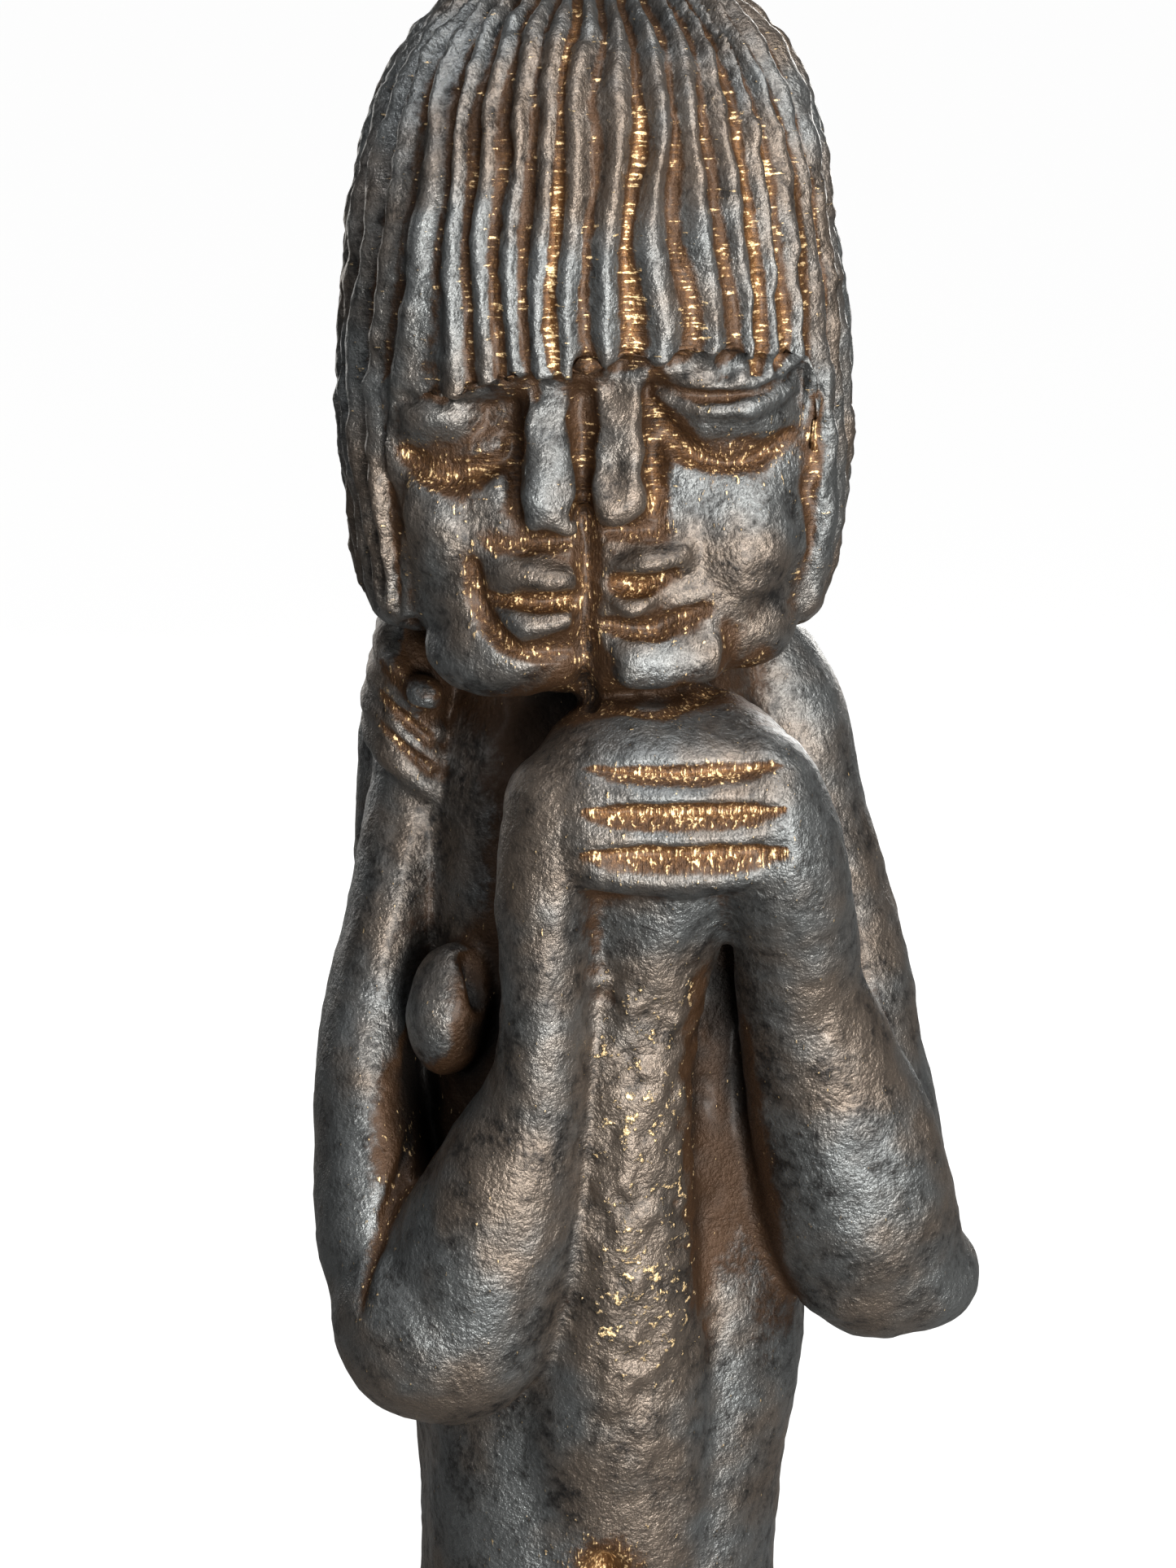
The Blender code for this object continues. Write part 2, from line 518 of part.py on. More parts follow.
def fewer_facets(figure, ratio, keep_detail):
    """Drops facets by the ratio, either everywhere but on the marked detail or only there."""
    fewer = figure.modifiers.new("facets", "DECIMATE")
    fewer.ratio = ratio
    fewer.use_collapse_triangulate = True
    fewer.vertex_group = "detail"
    fewer.invert_vertex_group = keep_detail
    fewer.vertex_group_factor = 0.0


def cut_flat(mesh):
    """Cuts the casting flat at its underside, where Z is 0."""
    work = bmesh.new()
    work.from_mesh(mesh)
    every = work.verts[:] + work.edges[:] + work.faces[:]
    cut = bmesh.ops.bisect_plane(work, geom=every, plane_co=(0, 0, 0), plane_no=(0, 0, 1),
                                 clear_inner=True)
    rim = [e for e in cut["geom_cut"] if isinstance(e, bmesh.types.BMEdge)]
    bmesh.ops.edgeloop_fill(work, edges=rim)
    bmesh.ops.triangulate(work, faces=work.faces[:])
    bmesh.ops.recalc_face_normals(work, faces=work.faces[:])
    work.to_mesh(mesh)
    work.free()


def bronze():
    """Dark patinated bronze."""
    finish = bpy.data.materials.new("patinated_bronze")
    finish.use_nodes = True
    shader = finish.node_tree.nodes["Principled BSDF"]
    shader.inputs["Base Color"].default_value = (0.085, 0.082, 0.078, 1.0)
    shader.inputs["Metallic"].default_value = 0.8
    shader.inputs["Roughness"].default_value = 0.45
    return finish


def janus_figure():
    """The whole casting as one closed body."""
    large = bmesh.new()
    body_shells(large)
    base_shell(large)
    front_arms(large)
    chest_shell(large)
    back_arms(large)
    head_shells(large)
    wax = fuse(large, "large_forms", LARGE_SOFTNESS)
    large.free()

    small = bmesh.new()
    small.from_mesh(wax)
    small.from_mesh(hair_shell())
    breast_shell(small)
    face_shells(small)
    hand_shells(small)
    wax = fuse(small, "small_forms", SMALL_SOFTNESS)
    small.free()
    carve(wax)

    figure = new_object("janus_figure", wax)
    every = sum(len(face.vertices) - 2 for face in wax.polygons)
    detail = mark_detail(figure)
    fewer_facets(figure, (FACETS_REST + detail) / every, True)
    fewer_facets(figure, (FACETS_REST + FACETS_DETAIL) / (FACETS_REST + detail), False)
    mesh = take_mesh(figure, "janus_figure")
    cut_flat(mesh)
    mesh.materials.append(bronze())
    mesh.shade_smooth()
    return new_object("janus_figure", mesh)


clear_scene()
janus_figure()
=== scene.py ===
"""Bronze janus figure: the cast skin, its patina and the studio around it.

The casting is worked as wax is. Shells for the large forms are fused and softened, shells for the
faces and hands are laid on and fused again, and then locks, fingers, creases, pits and chisel marks
are pressed in. Places on the figure are in parts, where one part is about a millimetre: X to the
right of someone facing it, the front towards -Y, Z up from the soles.
"""
from __future__ import annotations

import logging
import math
from dataclasses import dataclass, field
from enum import Enum

import bmesh
import bpy
import numpy as np
from mathutils import Matrix, Vector
from mathutils.bvhtree import BVHTree
from mathutils.kdtree import KDTree

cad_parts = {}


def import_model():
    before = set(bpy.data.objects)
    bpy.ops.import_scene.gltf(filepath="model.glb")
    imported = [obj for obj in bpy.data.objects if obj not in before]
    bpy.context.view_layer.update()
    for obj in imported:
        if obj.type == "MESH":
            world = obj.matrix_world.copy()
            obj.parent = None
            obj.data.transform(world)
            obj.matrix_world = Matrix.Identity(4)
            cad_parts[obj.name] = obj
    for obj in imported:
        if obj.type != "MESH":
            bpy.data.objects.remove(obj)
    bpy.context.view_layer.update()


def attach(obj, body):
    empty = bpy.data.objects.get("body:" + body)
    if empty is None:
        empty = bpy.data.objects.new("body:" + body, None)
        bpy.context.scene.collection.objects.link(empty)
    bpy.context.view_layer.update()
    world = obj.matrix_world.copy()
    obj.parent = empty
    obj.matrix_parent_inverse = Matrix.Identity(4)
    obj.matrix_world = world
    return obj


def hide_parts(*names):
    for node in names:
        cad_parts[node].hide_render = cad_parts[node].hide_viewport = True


log = logging.getLogger("janus")

Point = tuple[float, float, float]
Row = tuple[float, ...]

MOST_TRIANGLES = 196_000
STORED = ("rubbed", "level", "hollow_fine", "hollow_wide", "pitted", "sheltered")


class Streaks(Enum):
    """Which way the fine ripples of a rubbed hollow run: across its length."""

    UPRIGHT = 0.0
    LEVEL = 1.0


@dataclass(frozen=True)
class Measure:
    """The figure's own measure: parts above the soles, which stand on the base.

    Attributes:
        figure_height: Height from sole to crown, in metres.
        parts_high: The same height in parts.
        base_height: Height of the base, in metres.
    """

    figure_height: float = 0.310
    parts_high: float = 310.0
    base_height: float = 0.010

    @property
    def part(self) -> float:
        """One part, in metres."""
        return self.figure_height / self.parts_high

    def to_world(self, point: Point | Row) -> Vector:
        """A place on the figure as metres in the model's frame.

        Args:
            point: X, Y and Z in parts.

        Returns:
            The same place in metres.
        """
        x, y, z = point
        return Vector((x * self.part, y * self.part, z * self.part + self.base_height))

    def to_parts(self, points: np.ndarray) -> np.ndarray:
        """Rows of metres as rows of parts."""
        return (points - np.array([0.0, 0.0, self.base_height])) / self.part

    def to_metres(self, points: np.ndarray) -> np.ndarray:
        """Rows of parts as rows of metres."""
        return points * self.part + np.array([0.0, 0.0, self.base_height])


MEASURE = Measure()


def step_up(value: np.ndarray, low: float | np.ndarray, high: float | np.ndarray) -> np.ndarray:
    """A smooth step from 0 at low to 1 at high.

    Args:
        value: The numbers to step.
        low: Where the step starts.
        high: Where the step ends.

    Returns:
        Shares from 0 to 1.
    """
    share = np.clip((value - low) / (high - low), 0.0, 1.0)
    return share * share * (3 - 2 * share)


def smooth_rows(rows: list[Row] | np.ndarray, steps: int) -> np.ndarray:
    """Rows of numbers along a smooth curve through the given rows.

    Args:
        rows: The rows that the curve goes through.
        steps: How many rows to give for each stretch.

    Returns:
        The finer rows.
    """
    rows = np.asarray(rows, float)
    ends = np.vstack([2 * rows[0] - rows[1], rows, 2 * rows[-1] - rows[-2]])
    out = []
    for k in range(1, len(ends) - 2):
        a, b, c, d = ends[k - 1:k + 3]
        for t in np.linspace(0.0, 1.0, steps, endpoint=False):
            out.append(0.5 * (2 * b + (c - a) * t + (2 * a - 5 * b + 4 * c - d) * t ** 2
                              + (3 * b - a - 3 * c + d) * t ** 3))
    out.append(rows[-1])
    return np.array(out)


@dataclass(frozen=True)
class Wander:
    """Smooth random numbers in space, from a seeded, turned lattice that repeats far away.

    Attributes:
        cell: Distance between lattice points along X, Y and Z, in parts.
        seed: Seed of the lattice.
        SIDE: Lattice points along each side before it repeats.
        TURN: How the lattice is turned, so that none of its lines run along an axis.
    """

    cell: Point
    seed: int

    SIDE = 32
    TURN = np.array([[0.8, -0.48, 0.36], [0.6, 0.64, -0.48], [0.0, 0.6, 0.8]])

    def at(self, points: np.ndarray) -> np.ndarray:
        """A number from -1 to 1 for each point.

        Args:
            points: Rows of X, Y and Z in parts.

        Returns:
            One number for each row.
        """
        table = np.random.default_rng(self.seed).uniform(-1, 1, (self.SIDE,) * 3)
        place = (points / np.asarray(self.cell)) @ self.TURN
        low = np.floor(place).astype(int)
        part = place - low
        part = part * part * (3 - 2 * part)
        total = np.zeros(len(points))
        for corner in range(8):
            bits = np.array([corner & 1, corner >> 1 & 1, corner >> 2 & 1])
            share = np.prod(np.where(bits, part, 1 - part), axis=1)
            i, j, k = ((low + bits) % self.SIDE).T
            total += share * table[i, j, k]
        return total


@dataclass
class Wax:
    """Closed shells of wax, gathered before they are fused into one skin."""

    shells: bmesh.types.BMesh = field(default_factory=bmesh.new)

    def skin(self, rings: list[list[Row]]) -> None:
        """Closes a stack of point rings, lowest first, into one shell.

        Args:
            rings: Rings of points in parts, all with the same number of points.
        """
        new = self.shells.verts.new
        loops = [[new(MEASURE.to_world(point)) for point in ring] for ring in rings]
        count = len(loops[0])
        for low, high in zip(loops, loops[1:]):
            for i in range(count):
                j = (i + 1) % count
                self.shells.faces.new((low[i], low[j], high[j], high[i]))
        self.shells.faces.new(list(reversed(loops[0])))
        self.shells.faces.new(loops[-1])

    @staticmethod
    def placed(centre: Point, size: Point, turn: Point) -> Matrix:
        """The matrix that sizes a unit form, turns it in degrees about X, Y, Z and places it.

        Args:
            centre: Where the form's centre goes, in parts.
            size: Its size along its own X, Y and Z, in parts.
            turn: Turns about X, Y and Z, in degrees, made in that order.

        Returns:
            The matrix.
        """
        spin = Matrix.Identity(4)
        for axis, angle in zip("XYZ", turn):
            spin = Matrix.Rotation(math.radians(angle), 4, axis) @ spin
        sized = Matrix.Diagonal((*(value * MEASURE.part for value in size), 1.0))
        return Matrix.Translation(MEASURE.to_world(centre)) @ spin @ sized

    def blob(self, centre: Point, radii: Point, turn: Point = (0.0, 0.0, 0.0)) -> None:
        """Adds an ellipsoid.

        Args:
            centre: Its centre, in parts.
            radii: Its three radii, in parts.
            turn: Turns about X, Y and Z, in degrees.
        """
        bmesh.ops.create_icosphere(self.shells, subdivisions=4, radius=1.0,
                                   matrix=self.placed(centre, radii, turn))

    def slab(self, centre: Point, halves: Point, turn: Point, edge: float) -> None:
        """Adds a block with rounded edges.

        Args:
            centre: Its centre, in parts.
            halves: Its half sizes, in parts.
            turn: Turns about X, Y and Z, in degrees.
            edge: Radius of its edges, in parts.
        """
        size = (2 * halves[0], 2 * halves[1], 2 * halves[2])
        made = bmesh.ops.create_cube(self.shells, size=1.0,
                                     matrix=self.placed(centre, size, turn))
        edges = {e for v in made["verts"] for e in v.link_edges}
        bmesh.ops.bevel(self.shells, geom=list(edges), offset=edge * MEASURE.part, segments=4,
                        profile=0.5, affect="EDGES")

    def limb(self, stations: list[Row], sides: int = 32, steps: int = 7, dome: int = 6) -> None:
        """Adds a tapering limb with domed ends.

        Args:
            stations: Rows of X, Y, Z, radius across and radius front to back, in parts. Across
                is along X on a limb that stands, and along Z on one that lies.
            sides: Points in each ring.
            steps: Rings for each stretch.
            dome: Rings in each end.
        """
        path = smooth_rows(stations, steps)
        ways = np.gradient(path[:, :3], axis=0)
        ways /= np.linalg.norm(ways, axis=1)[:, None]
        chord = path[-1, :3] - path[0, :3]
        lies = abs(chord[2]) < 0.5 * np.linalg.norm(chord)
        across = np.array([0.0, 0.0, 1.0]) if lies else np.array([1.0, 0.0, 0.0])
        turns = np.linspace(0, 2 * math.pi, sides, endpoint=False)

        def ring(row: np.ndarray, way: np.ndarray, shrink: float, shift: float) -> list[Row]:
            """One ring of the limb."""
            side = across - (across @ way) * way
            side /= np.linalg.norm(side)
            deep = np.cross(way, side)
            centre = row[:3] + way * shift
            return [tuple(centre + shrink * (row[3] * math.cos(t) * side
                                             + row[4] * math.sin(t) * deep)) for t in turns]

        lifts = [math.radians(85 - 80 * k / (dome - 1)) for k in range(dome)]
        first, last = path[0], path[-1]
        rings = [ring(first, ways[0], math.cos(a), -first[3] * math.sin(a)) for a in lifts]
        rings += [ring(row, way, 1.0, 0.0) for row, way in zip(path, ways)]
        rings += [ring(last, ways[-1], math.cos(a), last[3] * math.sin(a))
                  for a in reversed(lifts)]
        self.skin(rings)

    def stack(self, sections: list[Row], sides: int = 72, steps: int = 6) -> None:
        """Adds a form given by its level sections.

        Args:
            sections: Rows of Z, X, Y, half width, half depth, squareness (2 is an ellipse) and
                turn in degrees.
            sides: Points in each ring.
            steps: Rings for each stretch.
        """
        rings = []
        turns = np.linspace(0, 2 * math.pi, sides, endpoint=False)
        for z, x, y, wide, deep, square, turn in smooth_rows(sections, steps):
            spin = math.radians(turn)
            ring = []
            for t in turns:
                across = wide * math.copysign(abs(math.cos(t)) ** (2 / square), math.cos(t))
                along = deep * math.copysign(abs(math.sin(t)) ** (2 / square), math.sin(t))
                ring.append((x + across * math.cos(spin) - along * math.sin(spin),
                             y + across * math.sin(spin) + along * math.cos(spin), z))
            rings.append(ring)
        self.skin(rings)

    def fused(self, grain: float, softness: float) -> bpy.types.Mesh:
        """Fuses the shells into one skin and rounds its inner corners.

        Args:
            grain: Size of the skin's facets, in parts.
            softness: About how far the rounding reaches, in parts.

        Returns:
            The skin. The shells are used up.
        """
        mesh = bpy.data.meshes.new("wax")
        self.shells.to_mesh(mesh)
        self.shells.free()
        item = bpy.data.objects.new("wax", mesh)
        bpy.context.scene.collection.objects.link(item)
        skin = item.modifiers.new("skin", "REMESH")
        skin.mode = "VOXEL"
        skin.voxel_size = grain * MEASURE.part
        soft = item.modifiers.new("soft", "SMOOTH")
        soft.factor = 0.5
        soft.iterations = max(1, round(2 * (softness / grain) ** 2))
        return taken(item)


def taken(item: bpy.types.Object) -> bpy.types.Mesh:
    """Applies an object's modifiers and removes the object.

    Args:
        item: The object to use up.

    Returns:
        Its mesh with the modifiers applied.
    """
    bpy.context.view_layer.update()
    graph = bpy.context.evaluated_depsgraph_get()
    mesh = bpy.data.meshes.new_from_object(item.evaluated_get(graph),
                                           preserve_all_data_layers=True, depsgraph=graph)
    bpy.data.objects.remove(item, do_unlink=True)
    return mesh


@dataclass(frozen=True)
class Stroke:
    """A stroke of the tool, pressed into the wax.

    Attributes:
        rows: X, Y, Z, half width and depth along it, in parts. Y only says front or back: the
            stroke lies on the skin there.
        rubbed: How far the hollow is rubbed back to bare bronze, from 0 to 1.
        streaks: Which way the ripples in it run.
        floor: Share of its half width that is its flat floor.
        lean: How much steeper its upper wall is than its lower one.
        edge: How sharply the rubbed zone ends.
        halo: How much of it spreads round the hollow.
        REACH: How near a row the skin has to be for the row to lie on it, in parts.
    """

    rows: tuple[Row, ...]
    rubbed: float = 0.0
    streaks: Streaks = Streaks.UPRIGHT
    floor: float = 0.0
    lean: float = 0.0
    edge: float = 0.8
    halo: float = 0.4

    REACH = 0.7

    def settled(self, points: np.ndarray) -> np.ndarray:
        """The stroke's rows, moved along Y onto the skin.

        Args:
            points: The skin's points, in parts.

        Returns:
            The rows.
        """
        rows = np.array(self.rows, float)
        for row in rows:
            near = np.hypot(points[:, 0] - row[0], points[:, 2] - row[2]) < self.REACH
            column = points[near, 1]
            row[1] = column.min() if row[1] < 0 else column.max()
        return smooth_rows(rows, 4)


@dataclass
class Skin:
    """The fused skin while it is worked: its points, normals and what each point has become.

    Attributes:
        mesh: The mesh that is worked.
        points: Its points, in parts.
        normals: Its normals.
        rubbed: How far each point is rubbed back to bare bronze; in the hair it also holds painted
            light, more gold towards the right.
        level: 1 where ripples run level, 0 where they stand.
        HALO_REACH: How far from a stroke it is felt, in its own half widths.
        HALO_EDGE: How soon the rubbed halo round a stroke fades.
    """

    mesh: bpy.types.Mesh
    points: np.ndarray = field(init=False)
    normals: np.ndarray = field(init=False)
    rubbed: np.ndarray = field(init=False)
    level: np.ndarray = field(init=False)

    HALO_REACH = 4.5
    HALO_EDGE = 0.16

    def __post_init__(self) -> None:
        """Reads the mesh."""
        self.rubbed = np.zeros(len(self.mesh.vertices))
        self.level = np.zeros(len(self.mesh.vertices))
        self.read()

    def read(self) -> None:
        """Takes points and normals from the mesh."""
        count = len(self.mesh.vertices)
        points, normals = np.empty(count * 3), np.empty(count * 3)
        self.mesh.vertices.foreach_get("co", points)
        self.mesh.vertices.foreach_get("normal", normals)
        self.points = MEASURE.to_parts(points.reshape(-1, 3))
        self.normals = normals.reshape(-1, 3)

    def write(self) -> None:
        """Puts the points back and reads the new normals."""
        self.mesh.vertices.foreach_set("co", MEASURE.to_metres(self.points).ravel())
        self.mesh.update()
        self.read()

    def push(self, depth: np.ndarray) -> None:
        """Moves every point inwards along its normal.

        Args:
            depth: How far, in parts, for each point.
        """
        self.points -= self.normals * depth[:, None]

    def press(self, strokes: list[Stroke]) -> None:
        """Presses strokes into the skin.

        Args:
            strokes: The strokes, which may cross.
        """
        for stroke in strokes:
            rows = stroke.settled(self.points)
            line, halves, depths = rows[:, :3], rows[:, 3], rows[:, 4]
            rim = self.HALO_REACH * halves.max()
            near = np.all((self.points > line.min(0) - rim) & (self.points < line.max(0) + rim),
                          axis=1)
            index = np.nonzero(near)[0]
            spots = self.points[index]
            depth = np.zeros(len(index))
            share = np.zeros(len(index))
            for k in range(len(rows) - 1):
                way = line[k + 1] - line[k]
                t = np.clip(((spots - line[k]) @ way) / max(way @ way, 1e-9), 0.0, 1.0)
                across = spots - (line[k] + t[:, None] * way)
                half = halves[k] + t * (halves[k + 1] - halves[k])
                gap = np.linalg.norm(across, axis=1) / half
                gap *= 1.0 + stroke.lean * np.clip(across[:, 2] / half, -1, 1)
                deep = depths[k] + t * (depths[k + 1] - depths[k])
                depth = np.maximum(depth, deep * (1.0 - step_up(gap, stroke.floor, 1.0)))
                outside = np.maximum(gap - stroke.floor, 0)
                rub = (1.0 - stroke.halo) * np.exp(-stroke.edge * outside ** 2)
                rub += stroke.halo * np.exp(-self.HALO_EDGE * outside ** 2)
                share = np.maximum(share, rub)
            self.points[index] -= self.normals[index] * depth[:, None]
            self.rubbed[index] = np.maximum(self.rubbed[index], stroke.rubbed * share)
            weight = step_up(share, 0.03, 0.2)
            self.level[index] += weight * (stroke.streaks.value - self.level[index])

    def smoothed(self, reach: float, grain: float) -> np.ndarray:
        """How far a smoothed copy of the skin lies outside it, so hollows are positive.

        Args:
            reach: About how far the smoothing reaches, in parts.
            grain: Size of the skin's facets, in parts.

        Returns:
            The distance for each point, in parts.
        """
        item = bpy.data.objects.new("smoothed", self.mesh.copy())
        bpy.context.scene.collection.objects.link(item)
        soft = item.modifiers.new("soft", "SMOOTH")
        soft.factor = 0.5
        soft.iterations = max(1, round(2 * (reach / grain) ** 2))
        mesh = taken(item)
        points = np.empty(len(mesh.vertices) * 3)
        mesh.vertices.foreach_get("co", points)
        bpy.data.meshes.remove(mesh)
        moved = MEASURE.to_parts(points.reshape(-1, 3)) - self.points
        return np.einsum("ij,ij->i", moved, self.normals)

    def sheltered(self, reach: float, grain: float, rays: int = 24) -> np.ndarray:
        """How far each point is shut in by the rest of the casting; the colour lays painted shade
        by it.

        Short rays go out from a coarse copy of the skin, and each point takes what its nearest
        places on the copy find.

        Args:
            reach: How far the rays go, in parts.
            grain: Size of the coarse copy's facets, in parts.
            rays: How many rays leave each place.

        Returns:
            The share of rays that meet the skin, for each point.
        """
        item = bpy.data.objects.new("coarse", self.mesh.copy())
        bpy.context.scene.collection.objects.link(item)
        coarse = item.modifiers.new("coarse", "REMESH")
        coarse.mode = "VOXEL"
        coarse.voxel_size = grain * MEASURE.part
        work = bmesh.new()
        work.from_mesh(taken(item))
        work.normal_update()
        tree = BVHTree.FromBMesh(work)
        rng = np.random.default_rng(31)
        turn = rng.uniform(0, 2 * math.pi, rays)
        out = np.sqrt(rng.uniform(0, 1, rays))
        fan = [Vector((o * math.cos(t), o * math.sin(t), math.sqrt(1 - o * o)))
               for o, t in zip(out, turn)]
        far = reach * MEASURE.part
        found = np.empty(len(work.verts))
        nearest = KDTree(len(work.verts))
        for k, vert in enumerate(work.verts):
            spin = vert.normal.to_track_quat("Z", "Y")
            start = vert.co + vert.normal * (0.5 * grain * MEASURE.part)
            found[k] = sum(tree.ray_cast(start, spin @ way, far)[0] is not None for way in fan)
            nearest.insert(vert.co, k)
        nearest.balance()
        work.free()
        shares = np.empty(len(self.points))
        for k, place in enumerate(MEASURE.to_metres(self.points)):
            shares[k] = np.mean([found[index] for _, index, _ in nearest.find_n(place, 4)])
        return shares / rays

    def store(self, name: str, values: np.ndarray) -> None:
        """Stores one number per point for the materials to read.

        Args:
            name: The attribute's name.
            values: The numbers.
        """
        layer = self.mesh.attributes.new(name, "FLOAT", "POINT")
        layer.data.foreach_set("value", np.ascontiguousarray(values, np.float32))


@dataclass
class Trunk:
    """Trunk, hips, the legs that touch, two pairs of feet and the low base under them."""

    base_width: float = 0.058
    base_depth: float = 0.058
    base_corner: float = 0.012
    base_edge: float = 0.002
    below_cut: float = 3.0

    def lay(self, wax: Wax) -> None:
        """Lays the trunk, legs, feet and base.

        Args:
            wax: Where the shells go.
        """
        wax.stack([
            (110, 0, 0.5, 11.0, 10.6, 2.2, 0), (121, 0, 0.5, 14.4, 13.2, 2.3, 1),
            (131, 0, 0.5, 17.2, 15.4, 2.5, 3),
            (141, 0, 0.4, 18.0, 16.4, 2.6, 4), (154, 0.1, 0.0, 17.2, 16.4, 2.7, 6),
            (166, 0.2, 0.0, 17.4, 16.8, 2.8, 8), (180, 0.9, 0.5, 18.6, 16.9, 2.8, 8),
            (200, 1.0, 1.0, 18.6, 17.2, 2.8, 8), (222, 0.6, 1.5, 17.6, 16.8, 2.8, 8),
            (236, 0.4, 2.0, 16.8, 15.4, 2.6, 6), (245, 0.2, 2.0, 14.6, 13.0, 2.4, 4),
            (253, 0, 1.0, 12.0, 12.0, 2.2, 0), (262, 0, 0.0, 11.0, 11.0, 2.0, 0)])
        for side in (-1, 1):
            wax.limb([
                (side * 8.2, 0.5, 136, 9.2, 15.4), (side * 7.8, 0.0, 112, 8.8, 14.4),
                (side * 7.0, -0.6, 84, 7.4, 12.4), (side * 6.6, -1.4, 71, 7.4, 12.8),
                (side * 6.2, 0.2, 58, 6.4, 11.4), (side * 6.3, 1.6, 44, 7.0, 11.8),
                (side * 5.6, 1.0, 24, 5.4, 9.4), (side * 5.4, 0.6, 11, 5.0, 8.8),
                (side * 5.6, 0.0, 2, 5.4, 10.0)])
            wax.limb([(side * 6.6, -17.5, 1.0, 3.2, 4.4), (side * 6.2, -12.0, 2.6, 4.4, 4.8),
                      (side * 5.6, -4.0, 5.0, 5.4, 5.0)])
            wax.limb([(side * 6.4, 17.5, 1.0, 3.2, 4.2), (side * 6.0, 12.0, 2.4, 4.2, 4.6),
                      (side * 5.6, 4.0, 4.6, 5.2, 5.0)])
            wax.blob((side * 7.5, 6.0, 135.0), (9.6, 11.8, 21.0))
        self.lay_base(wax)

    def lay_base(self, wax: Wax) -> None:
        """Lays the base, carried on below the level where it is cut flat.

        Args:
            wax: Where the shell goes.
        """
        part = MEASURE.part
        low = -MEASURE.base_height / part - self.below_cut
        half_x, half_y = self.base_width / 2 / part, self.base_depth / 2 / part
        corner, edge = self.base_corner / part, self.base_edge / part
        rings = []
        for z, inset in ((low, 0.0), (-edge, 0.0), (-edge * 0.3, edge * 0.3), (0.0, edge)):
            ring = []
            for quarter in range(4):
                sx = (1, -1, -1, 1)[quarter]
                sy = (1, 1, -1, -1)[quarter]
                for k in range(9):
                    angle = math.radians(90 * quarter + 11.25 * k)
                    reach = corner - inset
                    ring.append((sx * (half_x - corner) + reach * math.cos(angle),
                                 sy * (half_y - corner) + reach * math.sin(angle), z))
            rings.append(ring)
        wax.skin(rings)

    def strokes(self) -> list[Stroke]:
        """Navel and spine."""
        return [
            Stroke(((0.2, -17, 160.6, 2.6, 2.0), (0.2, -17, 162.4, 2.6, 2.0)), 1.0),
            Stroke(((0, 19, 236, 2.0, 0.3), (0, 19, 205, 2.6, 1.2), (0, 18, 165, 2.6, 1.2),
                    (0, 19, 138, 1.6, 1.0)), 0.12, Streaks.LEVEL),
        ]


